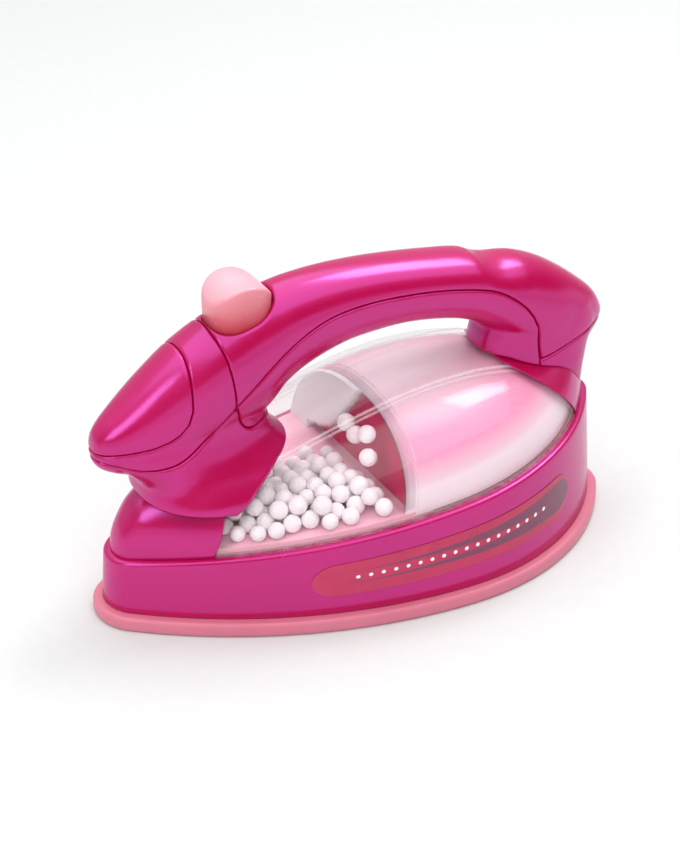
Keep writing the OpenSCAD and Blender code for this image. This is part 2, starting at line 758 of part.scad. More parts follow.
// Foam beads, heaped on the floor against the partition in staggered layers
bead_pitch = bead_d + 0.15;
bead_r = bead_d / 2;
// Room left at the cover's side, more with each layer, and under its crown
bead_side = 2.3;
bead_lean = 3.6;
bead_head = 3;
// How far each layer of the heap runs forward, and how far across from the near side
heap_len = [60, 46];
heap_side = [9, -3];
layer_h = bead_pitch;
function bead_spot(i, j, k) = [
    partition_x - bead_r - 1.4 - bead_pitch * sqrt(3) / 2 * i - (k % 2) * bead_pitch / sqrt(3),
    (j + ((i + k) % 2) / 2) * bead_pitch
];
function bead_fits(p, k) =
    let (
        z = rim(p.x) + floor_t + bead_r + 0.1 + k * layer_h,
        side = plan_half(p.x, dome_foot(p.x) + dome_plan(cover_t)) - abs(p.y),
        roof = dome_point(p.x, 90, cover_t).z
    )
    p.x > toe_joint(z) + cap_t + bead_r
    && side > bead_r + bead_side + k * bead_lean
    && z + bead_r + bead_head < roof
    && p.x > partition_x - heap_len[k]
    && p.y < heap_side[k];
bead_spots = [
    for (k = [0:1]) for (i = [0:9]) for (j = [-8:8])
        let (p = bead_spot(i, j, k))
        if (bead_fits(p, k)) [p.x, p.y, rim(p.x) + floor_t + bead_r + 0.1 + k * layer_h]
];
// Beads that cling to the partition, as shares of the tank's half-width and height there
cling_keys = [[-0.088, 0.695], [-0.263, 0.655], [-0.436, 0.783], [-0.51, 0.53]];
cling_gap = 0.2;
function cling_spot(across, up) =
    let (
        h = up * (dome_point(partition_x, 90, cover_t).z - rim(partition_x)),
        off = bead_r + cling_gap
    )
    [
        partition_x + h * sin(partition_lean) - off * cos(partition_lean),
        across * plan_half(partition_x, dome_foot(partition_x) + dome_plan(cover_t)),
        rim(partition_x) + h * cos(partition_lean) + off * sin(partition_lean)
    ];
module foam_beads() {
    color("white") for (p = concat(bead_spots, [for (c = cling_keys) cling_spot(c.x, c.y)]))
        translate(p) sphere(d = bead_d);
}

module toe_cap() {
    color(magenta) difference() {
        union() {
            intersection() {
                dome_shell(0, cap_t, dome_toe, -40 * stretch, 18, cap_first = true);
                side_prism(concat(
                    [[-far, 0], [-far, far]], reversed(toe_joint_line(-joint_gap / 2))));
            }
            translate([toe_spot.x, toe_spot.y, rim(toe_spot.x) + boss_r * rim_rise])
                cylinder(r = boss_r, h = crown(toe_spot.x - boss_r) - cap_t / 2);
            for (p = front_spots) screw_pad(p);
        }
        screw_bore([toe_spot.x, toe_spot.y, 0], rim(toe_spot.x) + cap_screw_len);
        for (p = front_spots) screw_hole([p.x, p.y, 0], far);
        translate([loom_drop.x, loom_drop.y, 0]) cylinder(d = loom_d + 1, h = far);
    }
}

module heel_saddle() {
    color(magenta) difference() {
        union() {
            intersection() {
                dome_shell(0, cap_t, 34 * stretch, dome_heel, 18, cap_last = true);
                side_prism(concat(
                    saddle_line(joint_gap / 2),
                    [[69.5 * stretch + joint_gap, 0], [far, 0], [far, far], [40 * stretch, far]]));
            }
            translate([heel_spot.x, heel_spot.y, rim(heel_spot.x) + boss_r * rim_rise])
                cylinder(r = boss_r, h = crown(heel_spot.x + boss_r) - cap_t / 2);
            for (p = rear_spots) screw_pad(p);
        }
        screw_bore([heel_spot.x, heel_spot.y, 0], rim(heel_spot.x) + cap_screw_len);
        for (p = rear_spots) screw_hole([p.x, p.y, 0], far);
    }
}

cap_screw_len = 9;
module cap_screws() {
    color(steel) for (p = [toe_spot, heel_spot]) screw(under_deck(p), cap_screw_len);
}

// Handle mouldings

front_spots = [[-64 * stretch, -5.5], [-64 * stretch, 5.5]];
rear_spots = [[49 * stretch, 0], [66 * stretch, 0]];
post_screw_len = 11;
// Flat pad under the dome for a screw's head, merged with the wall on its lower side
pad_drop = 2.4;
function dome_angle(p) =
    let (w = plan_half(p.x, dome_foot(p.x) + dome_plan(cap_t)), s = -p.y / w)
    acos(sign(s) * pow(abs(s), dome_power / 2));
function pad_low(p) = dome_point(p.x, dome_angle(p), cap_t).z - pad_drop;
module screw_pad(p) {
    translate([p.x, p.y, pad_low(p)]) cylinder(r = screw_head_d / 2 + 0.6, h = pad_drop - 0.1);
}

// Seat of a post on the dome
seat_gap = 1.5 * joint_gap;
module dome_seat(from, to, n) {
    dome_solid(-seat_gap, 14, from, to, n);
}

// Lower edge of the front post's lip in the side view, lowest at the middle of the lip
lip_low = 35.5;
lip_line = [[-15 * stretch, 41], [-48 * stretch, lip_low], [-86 * stretch, 40.4]];
front_boss_h = 13;
front_rib = 5.6;
rib_t = 1.6;
module front_post() {
    color(magenta) difference() {
        intersection() {
            union() {
                difference() {
                    post_solid(front_levels, 0);
                    post_solid(front_levels, grip_wall);
                }
                for (p = front_spots) {
                    translate([p.x, p.y, lip_low]) cylinder(r = boss_r, h = front_boss_h);
                    translate([p.x - front_rib, p.y - rib_t / 2, lip_low])
                        cube([front_rib, rib_t, front_boss_h]);
                }
            }
            side_prism(concat(
                [for (x = steps(-86, -44.5, 14)) [x * stretch, seam(x * stretch) - joint_gap / 2]],
                tongue_line(-joint_gap / 2),
                [[-15 * stretch, 58.6]],
                lip_line));
        }
        dome_seat(dome_toe, -16 * stretch, 16);
        for (p = front_spots) screw_bore([p.x, p.y, lip_low], front_boss_h - 1);
    }
}

rear_boss_h = 14;
rear_rib = 11.4;
module rear_post() {
    color(magenta) difference() {
        intersection() {
            union() {
                difference() {
                    post_solid(rear_levels, 0);
                    post_solid(rear_levels, grip_wall);
                }
                translate([rear_spots[1].x, 0, rear_levels[0][0]]) {
                    cylinder(r = boss_r, h = rear_boss_h);
                    translate([-rib_t / 2, -rear_rib, 0]) cube([rib_t, 2 * rear_rib, rear_boss_h]);
                }
            }
            side_prism(concat(
                [for (x = steps(57.4, 86, 8)) [x * stretch, seam(x * stretch) - joint_gap / 2]],
                [[86 * stretch, 20]],
                [for (p = reversed(back_line(joint_gap / 2))) if (p.y < tail_keys[0][1]) p]));
        }
        dome_seat(34 * stretch, dome_heel, 16);
        screw_bore([rear_spots[1].x, 0, rear_levels[0][0]], far);
    }
}

module post_screws() {
    color(steel) for (p = concat(front_spots, rear_spots))
        screw([p.x, p.y, pad_low(p) - 0.05], post_screw_len);
}

grip_spots = [[-4 * stretch, 0], [28 * stretch, 0]];
grip_boss_h = 4;
function grip_boss_z(p) = grip_under(p.x) + grip_wall + grip_boss_h;
function grip_head_z(p) = grip_under(p.x) + grip_wall + 0.4;
module grip_lower() {
    color(magenta) difference() {
        union() {
            intersection() {
                union() {
                    arch_shell(
                        [for (x = lower_x) lower_row(x * stretch, 0)],
                        [for (x = lower_x) lower_row(x * stretch, grip_wall)]);
                    difference() {
                        post_solid(rear_levels, 0);
                        post_solid(rear_levels, grip_wall);
                    }
                }
                side_prism(concat(
                    collar_line(joint_gap / 2),
                    tongue_line(joint_gap / 2),
                    [[0, 50], [30 * stretch, 50]],
                    [for (p = reversed(back_line(-joint_gap / 2))) if (p.y < 69) p],
                    [for (x = steps(54.7, 30, 9)) [x * stretch, seam(x * stretch) - joint_gap / 2]],
                    [[30 * stretch, 110]]));
            }
            for (p = grip_spots)
                translate([p.x, p.y, grip_boss_z(p) - grip_boss_h - 0.5])
                    cylinder(r = boss_r + 0.6, h = grip_boss_h + 0.5);
            translate([rear_spots[0].x, 0, rear_levels[0][0]])
                cylinder(r = boss_r, h = grip_under(rear_spots[0].x) + grip_wall - rear_levels[0][0]);
        }
        dome_seat(34 * stretch, dome_heel, 16);
        for (p = grip_spots) {
            screw_hole([p.x, p.y, grip_under(p.x) - 1], far);
            translate([p.x, p.y, grip_under(p.x) - 1])
                cylinder(d = screw_head_d + 2 * head_room, h = grip_head_z(p) - grip_under(p.x) + 1);
        }
        screw_bore([rear_spots[0].x, 0, rear_levels[0][0]], far / 4);
    }
}
lower_x = steps(-47, 56, 28);
lower_cols = 10;
function lower_row(x, t) = grip_trough(x, seam(x) - joint_gap / 2, t, lower_cols);

// Button plan, grown by d
button_power = 2.6;
module button_plan(d) {
    polygon([
        for (j = [0:35])
            [
                (button_len / 2 + d) * superpower(cos(10 * j), button_power),
                (button_wid / 2 + d) * superpower(sin(10 * j), button_power)
            ]
    ]);
}
module button_opening() {
    translate([button_at, 0, cap_low - 12]) linear_extrude(height = far) button_plan(button_gap);
}

module grip_upper() {
    bar_x = steps(-52 * stretch, tail_from - 0.6, 26);
    xs = concat(bar_x, steps(tail_from + 0.6, tail_tip, 11));
    xi = concat(bar_x, steps(tail_from + 0.6, tail_tip - 2 * grip_wall, 11));
    color(magenta) difference() {
        union() {
            intersection() {
                upper_shell(xs, xi, false, true);
                side_prism(concat(collar_line(joint_gap / 2), [[-44 * stretch, 30], [far, 30], [far, far]]));
            }
            for (p = grip_spots)
                translate([p.x, p.y, grip_boss_z(p) + 0.05])
                    cylinder(r = boss_r, h = grip_top(p.x) - grip_boss_z(p) - 0.7 * grip_wall);
        }
        button_opening();
        for (p = grip_spots) screw_bore([p.x, p.y, grip_boss_z(p)], grip_screw_len);
    }
}

module head_shell() {
    upper_shell(
        soft_steps(nose_tip, -40 * stretch, 18),
        soft_steps(nose_tip + 2 * grip_wall, -40 * stretch, 18),
        true, false);
}
module nose_collar() {
    color(magenta) difference() {
        intersection() {
            head_shell();
            side_prism(concat(
                nose_line(joint_gap / 2),
                [[-far, 30], [-44 * stretch, 30]],
                reversed(collar_line(-joint_gap / 2))));
        }
        button_opening();
    }
}
module nose_cap() {
    color(magenta) intersection() {
        head_shell();
        side_prism(concat(nose_line(-joint_gap / 2), [[-far, far]]));
    }
}

grip_screw_len = 12;
module grip_screws() {
    color(steel) for (p = grip_spots) screw([p.x, p.y, grip_head_z(p) - 0.05], grip_screw_len);
}

// Button: a cap arched along the handle, on a stem that slides in a guide

cap_low = 84;
arch_rise = 5.6;
arch_r = (button_len * button_len / 4 + arch_rise * arch_rise) / (2 * arch_rise);
spring_len = 7.5;
guide_t = 3;
guide_top = cap_low - spring_len;
guide_low = guide_top - guide_t;
clip_t = 0.8;
clip_gap = 0.1;
clip_top = guide_low - clip_gap;
clip_d = stem_d + 3;
groove_d = stem_d - 2;
stem_low = clip_top - clip_t - 2.2;
module push_button() {
    color([0.96, 0.62, 0.64]) translate([button_at, 0, 0]) {
        intersection() {
            translate([0, 0, cap_low]) linear_extrude(height = button_top - cap_low) button_plan(0);
            translate([0, 0, button_top - arch_r]) rotate([90, 0, 0])
                cylinder(r = arch_r, h = 2 * button_wid, center = true, $fn = 96);
        }
        difference() {
            translate([0, 0, stem_low]) cylinder(d = stem_d, h = cap_low - stem_low + 0.5);
            translate([0, 0, clip_top - clip_t - 0.05]) difference() {
                cylinder(d = stem_d + 2, h = clip_t + 0.1);
                translate([0, 0, -1]) cylinder(d = groove_d, h = clip_t + 3);
            }
        }
    }
}

module stem_clip() {
    color(steel) translate([button_at, 0, clip_top - clip_t]) difference() {
        cylinder(d = clip_d, h = clip_t);
        translate([0, 0, -1]) cylinder(d = groove_d + 2 * run_gap, h = clip_t + 2);
        translate([0, -groove_d / 2, -1]) cube([clip_d, groove_d, clip_t + 2]);
    }
}

spring_wire = 0.7;
spring_r = stem_d / 2 + 1.2;
module button_spring() {
    color(steel) translate([button_at, 0, guide_top + 0.05])
        coil(spring_r, spring_r, spring_len - 0.1, 5, spring_wire);
}

board_t = 1.6;
switch_h = 4.3;
board_top = stem_low - button_travel - 0.1 - switch_h;
board_from = button_at - 8.5;
board_to = button_at + 3.2;
board_half = 6.6;
leg_t = 1.5;
leg_len = 7;
module button_guide() {
    color("whitesmoke") difference() {
        union() {
            intersection() {
                grip_solid(grip_wall + joint_gap, button_at - 14, button_at + 14, 8);
                translate([button_at - 8, -far, guide_low]) cube([16, 2 * far, guide_t]);
            }
            for (leg_y = [-board_half, board_half - leg_t])
                translate([button_at - leg_len + 1, leg_y, board_top + 0.05])
                    cube([leg_len, leg_t, guide_top - board_top - 1]);
        }
        translate([button_at, 0, 0]) cylinder(d = stem_d + 2 * run_gap, h = far);
    }
}

module switch_board() {
    color([0.75, 0.62, 0.40]) translate([board_from, -board_half, board_top - board_t])
        cube([board_to - board_from, 2 * board_half, board_t]);
}

module push_switch() {
    color([0.15, 0.15, 0.16]) translate([button_at, 0, board_top + 0.05]) {
        translate([-3, -3, 0]) cube([6, 6, switch_h - 1]);
        cylinder(d = 3.4, h = switch_h - 0.05);
    }
}

// Drive: motor on a cradle over the battery box, blower wheel behind its plate

fan_front = partition_x + 13;
fan_h = 6;
blade_t = 1;
motor_front = fan_front + fan_h + 2;
motor_flat = motor_d - 4.6;
module motor_envelope(d) {
    translate([motor_front - d, fan_y, fan_z]) rotate([0, 90, 0]) intersection() {
        cylinder(d = motor_d + 2 * d, h = motor_len + 2 * d);
        translate([-motor_flat / 2 - d, -far / 2, -1])
            cube([motor_flat + 2 * d, far, motor_len + 2 + 2 * d]);
    }
}
module motor() {
    color(steel) difference() {
        motor_envelope(0);
        translate([0, fan_y, fan_z]) rotate([0, 90, 0]) cylinder(d = shaft_d + 2 * run_gap, h = far);
    }
}
module motor_cradle() {
    base_z = box_top + box_wall + 0.05;
    cradle_half = motor_d / 2 + 2;
    color("whitesmoke") difference() {
        translate([motor_front + 4, fan_y - cradle_half, base_z])
            cube([motor_len - 8, 2 * cradle_half, fan_z + 3 - base_z]);
        motor_envelope(0.1);
        translate([0, fan_y - motor_d / 2 - 0.1, fan_z]) cube([far, motor_d + 0.2, far]);
    }
}
module motor_shaft() {
    color(steel) translate([fan_front - 1, fan_y, fan_z]) rotate([0, 90, 0])
        cylinder(d = shaft_d, h = motor_front + motor_len - fan_front + 2);
}
module blower_wheel() {
    color([0.9, 0.9, 0.92]) translate([fan_front, fan_y, fan_z]) rotate([0, 90, 0]) difference() {
        union() {
            cylinder(d = shaft_d + 4, h = fan_h);
            translate([0, 0, fan_h - 1.2]) cylinder(d = fan_d, h = 1.2);
            for (i = [0:blades - 1])
                rotate(360 * i / blades) translate([shaft_d / 2 + 1, -blade_t / 2, 0])
                    cube([fan_d / 2 - shaft_d / 2 - 1.4, blade_t, fan_h]);
        }
        translate([0, 0, -1]) cylinder(d = shaft_d + 2 * run_gap, h = fan_h + 2);
    }
}

// Wire loom: from the switch board down the front post to the battery box
loom_d = 2;
loom_drop = [-60 * stretch, 0];
loom_hole = [box_front - 1, 9, 13];
loom_path = [
    [board_from - 0.1, 0, board_top - 0.8], [button_at - 11, 0, board_top - 1], [-52 * stretch, 0, 60],
    [-56 * stretch, 0, 55], [-59 * stretch, 0, 49], [loom_drop.x, 0, 43], [loom_drop.x, 0, 30],
    [loom_drop.x, 0, 20], [-57 * stretch, 1, 14], [-48, 4, 11], [-36, 7, 11], [-24, 9, 12],
    [box_front - 6, 9, 13], [box_front - 2, 9, 13]
];
function loom_dir(i) =
    let (d = loom_path[min(i + 1, len(loom_path) - 1)] - loom_path[max(i - 1, 0)])
    d / norm(d);
module wire_loom() {
    color([0.75, 0.12, 0.15]) ring_solid([
        for (i = [0:len(loom_path) - 1])
            let (
                d = loom_dir(i),
                side = cross(d, [0, 1, 0]) / norm(cross(d, [0, 1, 0])),
                up = cross(side, d)
            )
            [for (j = [0:7]) loom_path[i] + loom_d / 2 * (cos(45 * j) * side + sin(45 * j) * up)]
    ]);
}

sole_plate();
battery_door();
door_screw();
battery_cells();
contact_springs();
contact_plates();
base_shell();
base_screws();
side_labels();
tank_floor();
tank_partition();
blower_plate();
tank_cover();
rear_liner();
foam_beads();
toe_cap();
heel_saddle();
cap_screws();
front_post();
rear_post();
post_screws();
grip_lower();
grip_upper();
nose_collar();
nose_cap();
grip_screws();
push_button();
stem_clip();
button_spring();
button_guide();
switch_board();
push_switch();
motor();
motor_cradle();
motor_shaft();
blower_wheel();
wire_loom();
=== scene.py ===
import math

import bpy
import numpy as np
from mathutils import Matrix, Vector


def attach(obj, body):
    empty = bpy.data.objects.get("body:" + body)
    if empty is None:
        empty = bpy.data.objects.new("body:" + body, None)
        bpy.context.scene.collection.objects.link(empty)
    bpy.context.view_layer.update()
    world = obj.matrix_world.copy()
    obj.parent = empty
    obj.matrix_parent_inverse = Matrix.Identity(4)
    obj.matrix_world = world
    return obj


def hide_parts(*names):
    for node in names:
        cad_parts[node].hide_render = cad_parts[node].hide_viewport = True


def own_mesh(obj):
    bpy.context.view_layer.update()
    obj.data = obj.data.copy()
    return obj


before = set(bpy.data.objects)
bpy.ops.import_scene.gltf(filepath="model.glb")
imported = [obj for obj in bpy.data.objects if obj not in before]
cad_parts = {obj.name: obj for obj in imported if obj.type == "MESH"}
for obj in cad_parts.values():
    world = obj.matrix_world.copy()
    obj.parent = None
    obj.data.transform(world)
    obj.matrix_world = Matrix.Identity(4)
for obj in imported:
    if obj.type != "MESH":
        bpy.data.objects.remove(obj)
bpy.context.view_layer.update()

# Sole plate: salmon satin plastic, injection moulded in one flat plate with a flange that
# stands out all round under the base. The battery door and the screws sit flush below it.

MM = 0.001
BODY_LEN, BODY_WID, WIDEST_X, END_R = 165.0, 84.8, 16.0, 11.8
SOLE_T, SOLE_FLANGE = 4.5, 2.8
HALF_LEN, HALF_WID = BODY_LEN / 2, BODY_WID / 2


def side_arc(reach):
    """Radius of the long side arc that meets an end circle at this reach from the widest place."""
    return ((reach - END_R) ** 2 + HALF_WID ** 2 - END_R ** 2) / (2 * (HALF_WID - END_R))


FRONT_R, REAR_R = side_arc(HALF_LEN + WIDEST_X), side_arc(HALF_LEN - WIDEST_X)
TOE_X, HEEL_X = END_R - HALF_LEN, HALF_LEN - END_R
FRONT_Y, REAR_Y = HALF_WID - FRONT_R, HALF_WID - REAR_R
TOE_TURN = math.atan2(-FRONT_Y, TOE_X - WIDEST_X)
HEEL_TURN = math.atan2(-REAR_Y, HEEL_X - WIDEST_X)


def plan_loop(fine):
    """Points of the whole body outline and their outward directions, as two arrays."""
    points, outward = [], []

    def arc(x, y, r, start, stop, n):
        for a in np.linspace(start, stop, n, endpoint=False):
            points.append((x + r * math.cos(a), y + r * math.sin(a)))
            outward.append((math.cos(a), math.sin(a)))

    arc(TOE_X, 0, END_R, math.pi, TOE_TURN, 2 * fine)
    arc(WIDEST_X, FRONT_Y, FRONT_R, TOE_TURN, math.pi / 2, 5 * fine)
    arc(WIDEST_X, REAR_Y, REAR_R, math.pi / 2, HEEL_TURN, 4 * fine)
    arc(HEEL_X, 0, END_R, HEEL_TURN, 0, 2 * fine)
    points.append((HALF_LEN, 0))
    outward.append((1, 0))
    p, n = np.array(points), np.array(outward)
    back = slice(-2, 0, -1)
    return (np.vstack([p, p[back] * (1, -1)]), np.vstack([n, n[back] * (1, -1)]))


def plan_half(x, d):
    """Half-width of the body outline at x, grown outwards by d."""
    x, d = np.broadcast_arrays(np.asarray(x, float), d)
    toe_end = TOE_X + (END_R + d) * math.cos(TOE_TURN)
    heel_end = HEEL_X + (END_R + d) * math.cos(HEEL_TURN)
    zones = [x < toe_end, x < WIDEST_X, x < heel_end]
    r = np.select(zones, [END_R, FRONT_R, REAR_R], END_R) + d
    cx = np.select(zones, [TOE_X, WIDEST_X, WIDEST_X], HEEL_X)
    cy = np.select(zones, [0, FRONT_Y, REAR_Y], 0)
    return np.sqrt(np.maximum(r ** 2 - (x - cx) ** 2, 0)) + cy


def ring_faces(rows, cols, closed=True, wrap=False):
    """Quads between rows of points; closed joins each row's ends, wrap joins the last row to the first."""
    i = np.arange(rows if wrap else rows - 1)[:, None]
    j = np.arange(cols if closed else cols - 1)[None, :]
    k = (i + 1) % rows
    m = (j + 1) % cols
    quads = np.stack(np.broadcast_arrays(i * cols + j, i * cols + m, k * cols + m, k * cols + j), -1)
    return quads.reshape(-1, 4).tolist()


def mesh_piece(name, points, faces, material, body="iron", nodes=(), slot=None, smooth=True, flip=False):
    """A finished piece from points in millimetres, riding on its body and standing for its CAD nodes."""
    mesh = bpy.data.meshes.new(name)
    mesh.from_pydata((np.asarray(points, float) * MM).tolist(), [], faces)
    if flip:
        mesh.flip_normals()
    mesh.validate()
    mesh.update()
    if smooth:
        mesh.polygons.foreach_set("use_smooth", [True] * len(mesh.polygons))
    obj = bpy.data.objects.new(name, mesh)
    bpy.context.scene.collection.objects.link(obj)
    mesh.materials.append(material)
    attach(obj, body)
    if nodes:
        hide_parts(*nodes)
    return obj


def add(tree, kind, *values, **settings):
    """A node in a tree. Settings are its properties and inputs by name, with _ for a space; values fill its
    inputs in order. A node or socket among them is linked."""
    node = tree.nodes.new(kind)
    filled = []
    for key, value in settings.items():
        socket = node.inputs.get(key.replace("_", " "))
        if socket is None:
            setattr(node, key, value)
        else:
            filled.append((socket, value))
    filled += zip([socket for socket in node.inputs if socket.enabled], values)
    for socket, value in filled:
        if isinstance(value, bpy.types.Node):
            value = next(output for output in value.outputs if output.enabled)
        if isinstance(value, bpy.types.NodeSocket):
            tree.links.new(value, socket)
        else:
            socket.default_value = value
    return node


def linear(hex_colour):
    """An sRGB hex colour as linear red, green, blue and alpha."""
    parts = [int(hex_colour[i:i + 2], 16) / 255 for i in (1, 3, 5)]
    return tuple(c / 12.92 if c <= 0.04045 else ((c + 0.055) / 1.055) ** 2.4 for c in parts) + (1.0,)


def bare_material(name):
    """A new material, its empty tree, and the place on the object that its patterns are drawn at."""
    material = bpy.data.materials.new(name)
    material.use_nodes = True
    tree = material.node_tree
    tree.nodes.clear()
    return material, tree, add(tree, "ShaderNodeTexCoord").outputs["Object"]


# Sizes of the mould's marks: colour drifts over about 36 mm, scuffs are 17 mm long, and the grain, really
# a few hundredths of a millimetre, is drawn at 1.1 mm so that it shows
DRIFT, GRAIN, GRAIN_DEEP = 35.7 * MM, 1.111 * MM, 0.2 * MM
SCUFF = (1 / (16.67 * MM), 1 / (1.111 * MM), 1 / (2.381 * MM))
COAT_ROUGH = 0.06


def moulded(name, light, dark, rough, bump=0.02, coat=0.0, shine=0.5, tint="#FFFFFF", crown=None, ior=1.5):
    """Moulded plastic: slow drift of colour, uneven gloss, fine grain and a few hairline scuffs."""
    material, tree, place = bare_material(name)
    drift = add(tree, "ShaderNodeTexNoise", Vector=place, Scale=1 / DRIFT, Detail=3.0)
    fine = add(tree, "ShaderNodeTexNoise", Vector=place, Scale=1 / GRAIN, Detail=2.0)
    stretched = add(tree, "ShaderNodeMapping", Vector=place, Scale=SCUFF)
    scuffs = add(tree, "ShaderNodeTexNoise", Vector=stretched, Scale=1.0, Detail=4.0)
    shade = add(tree, "ShaderNodeMapRange", drift, 0.3, 0.7)
    colour = add(tree, "ShaderNodeMix", shade, linear(dark), linear(light), data_type="RGBA")
    # The crown colour is a painted highlight, laid over the top where the crown attribute marks it
    if crown:
        top = add(tree, "ShaderNodeAttribute", attribute_name="crown").outputs["Fac"]
        colour = add(tree, "ShaderNodeMix", top, colour, linear(crown), data_type="RGBA")
    worn = add(tree, "ShaderNodeMapRange", scuffs, 0.66, 0.8, 0.0, 0.12)
    uneven = add(tree, "ShaderNodeMapRange", drift, 0.25, 0.75, rough - 0.03, rough + 0.04)
    relief = add(tree, "ShaderNodeBump", Strength=bump, Distance=GRAIN_DEEP, Height=fine)
    shader = add(tree, "ShaderNodeBsdfPrincipled", Base_Color=colour, Normal=relief, IOR=ior,
                 Roughness=add(tree, "ShaderNodeMath", worn, uneven, operation="ADD"),
                 Specular_IOR_Level=shine, Specular_Tint=linear(tint), Coat_Weight=coat,
                 Coat_Roughness=COAT_ROUGH)
    add(tree, "ShaderNodeOutputMaterial", Surface=shader)
    return material


# Satin ABS from a lightly textured mould: soft, broad highlights with no mirror image
salmon = moulded("salmon_abs_satin", "#D97A91", "#D17189", 0.36, bump=0.05)
outline, outward = plan_loop(12)
# Rounded edge, how far in the underside starts, and the seat for the base as insets and drops
EDGE, UNDER_INSET, BASE_SEAT = 1.1, 8.0, ((0.8, 0.0), (4.0, 0.1))


def plan_ring(d, z):
    """Outline grown by d at height z."""
    p = outline + d * outward
    return np.column_stack([p, np.full(len(p), z)])


quarter = np.linspace(0, math.pi / 2, 6)
sole_rings = [plan_ring(-UNDER_INSET, 0.0)]
edge_out = SOLE_FLANGE - EDGE
sole_rings += [plan_ring(edge_out + EDGE * math.sin(a), EDGE - EDGE * math.cos(a)) for a in quarter]
sole_rings += [plan_ring(edge_out + EDGE * math.cos(a), SOLE_T - EDGE + EDGE * math.sin(a)) for a in quarter]
sole_rings += [plan_ring(-inset, SOLE_T - drop) for inset, drop in BASE_SEAT]
count = len(outline)
sole_faces = ring_faces(len(sole_rings), count)
sole_faces.append(list(range(count - 1, -1, -1)))
sole_faces.append(list(range((len(sole_rings) - 1) * count, len(sole_rings) * count)))
sole = mesh_piece("sole", np.vstack(sole_rings), sole_faces, salmon, nodes=["sole_plate"],
                  slot="salmon_satin")
# The battery door's recess and the pockets of the screws' heads, cut from below
DOOR_FROM, DOOR_TO, DOOR_HALF, DOOR_DEEP = -12.1, 56.5, 16.8, 2.65
SCREW_SPOTS, POCKET_R, POCKET_DEEP = ((-58.0, 17.35), (52.0, 26.98)), 3.1, 2.0
CUT_BELOW, SHARP_ANGLE = -1.0, math.radians(40)


def prism(corners, low, high):
    """Points and faces of an upright prism over a plan outline."""
    n = len(corners)
    points = [(x, y, z) for z in (low, high) for x, y in corners]
    return points, ring_faces(2, n) + [list(range(n - 1, -1, -1)), list(range(n, 2 * n))]


def cut_away(obj, solids):
    """Cuts solids out of a piece by an exact boolean and keeps its flat faces flat."""
    points, faces = [], []
    for p, f in solids:
        faces += [[i + len(points) for i in face] for face in f]
        points += p
    mesh = bpy.data.meshes.new("cutter")
    mesh.from_pydata((np.array(points) * MM).tolist(), [], faces)
    cutter = bpy.data.objects.new("cutter", mesh)
    bpy.context.scene.collection.objects.link(cutter)
    cut = obj.modifiers.new("cut", "BOOLEAN")
    cut.operation, cut.solver, cut.object = "DIFFERENCE", "EXACT", cutter
    bpy.context.view_layer.update()
    done = bpy.data.meshes.new_from_object(obj.evaluated_get(bpy.context.evaluated_depsgraph_get()))
    obj.modifiers.remove(cut)
    bpy.data.objects.remove(cutter)
    obj.data = done
    done.set_sharp_from_angle(angle=SHARP_ANGLE)


turn = np.linspace(0, 2 * math.pi, 40, endpoint=False)
recess = [(DOOR_FROM, -DOOR_HALF), (DOOR_TO, -DOOR_HALF), (DOOR_TO, DOOR_HALF), (DOOR_FROM, DOOR_HALF)]
pockets = [prism([(x + POCKET_R * math.cos(a), side * y + POCKET_R * math.sin(a)) for a in turn],
                 CUT_BELOW, POCKET_DEEP) for x, y in SCREW_SPOTS for side in (-1, 1)]
cut_away(sole, [prism(recess, CUT_BELOW, DOOR_DEEP)] + pockets)

# Base shell: glossy magenta ABS tub, drawn in by the mould's draft, with a rounded rim that rises
# towards the heel and a narrow ledge round the tank. It is screwed to the sole from below.

RIM_MID, RIM_RISE, DRAFT = 29.6, 0.11, math.tan(math.radians(3.5))
LEDGE, BASE_WALL, DECK_T, RIM_R = 2.0, 2.0, 2.0, 1.2
# Small bevel at the foot as insets and lifts, and the deck's places inside the ledge
BASE_FOOT, DECK_IN, DECK_SLOPE = ((0.25, 0.05), (0.02, 0.3)), (0.1, 4.0, 4.2), 0.2


def rim(x):
    """Height of the rim, which rises towards the heel."""
    return RIM_MID + RIM_RISE * x


def drawn_in(z):
    """How far the draft moves the wall outwards at a height; negative is inwards."""
    return -(z - SOLE_T) * DRAFT


def rim_ring(d, up):
    """Outline on the sloping rim plane, d outwards from the wall and lifted by up."""
    p = outline + (d + drawn_in(rim(outline[:, :1]))) * outward
    return np.column_stack([p, rim(p[:, 0]) + up])


# ABS from a polished mould: a high gloss with slightly violet highlights. Its IOR is set above the usual
# 1.53, because the object mirrors more than plain ABS
magenta = moulded("magenta_abs_gloss", "#BC0549", "#B30443", 0.2, bump=0.012, shine=1.0, tint="#E789FF",
                  ior=1.8)
base_rings = [plan_ring(-inset, SOLE_T + lift) for inset, lift in BASE_FOOT]
low_wall, high_wall = base_rings[-1], rim_ring(0, -RIM_R)
base_rings += [low_wall + (high_wall - low_wall) * t for t in np.linspace(0, 1, 8)[1:]]
base_rings += [rim_ring(-RIM_R + RIM_R * math.cos(a), -RIM_R + RIM_R * math.sin(a)) for a in quarter[1:]]
base_rings += [rim_ring(-LEDGE - inset, drop) for inset, drop in zip(DECK_IN, (0, 0, -DECK_T))]
base_rings += [rim_ring(-BASE_WALL, -DECK_T - DECK_SLOPE), plan_ring(-BASE_WALL, SOLE_T + BASE_FOOT[0][1])]
mesh_piece("base_tub", np.vstack(base_rings), ring_faces(len(base_rings), count, wrap=True), magenta,
           nodes=["base_shell"], slot="magenta_gloss", flip=True)

# Printed bands: a thin gloss film on each side of the base, coral red with plum stripes and a
# row of white dots. It lies on the drafted wall and follows its curve.

BAND_FROM, BAND_TO, BAND_ROUND = -32.0, 58.0, 7.0
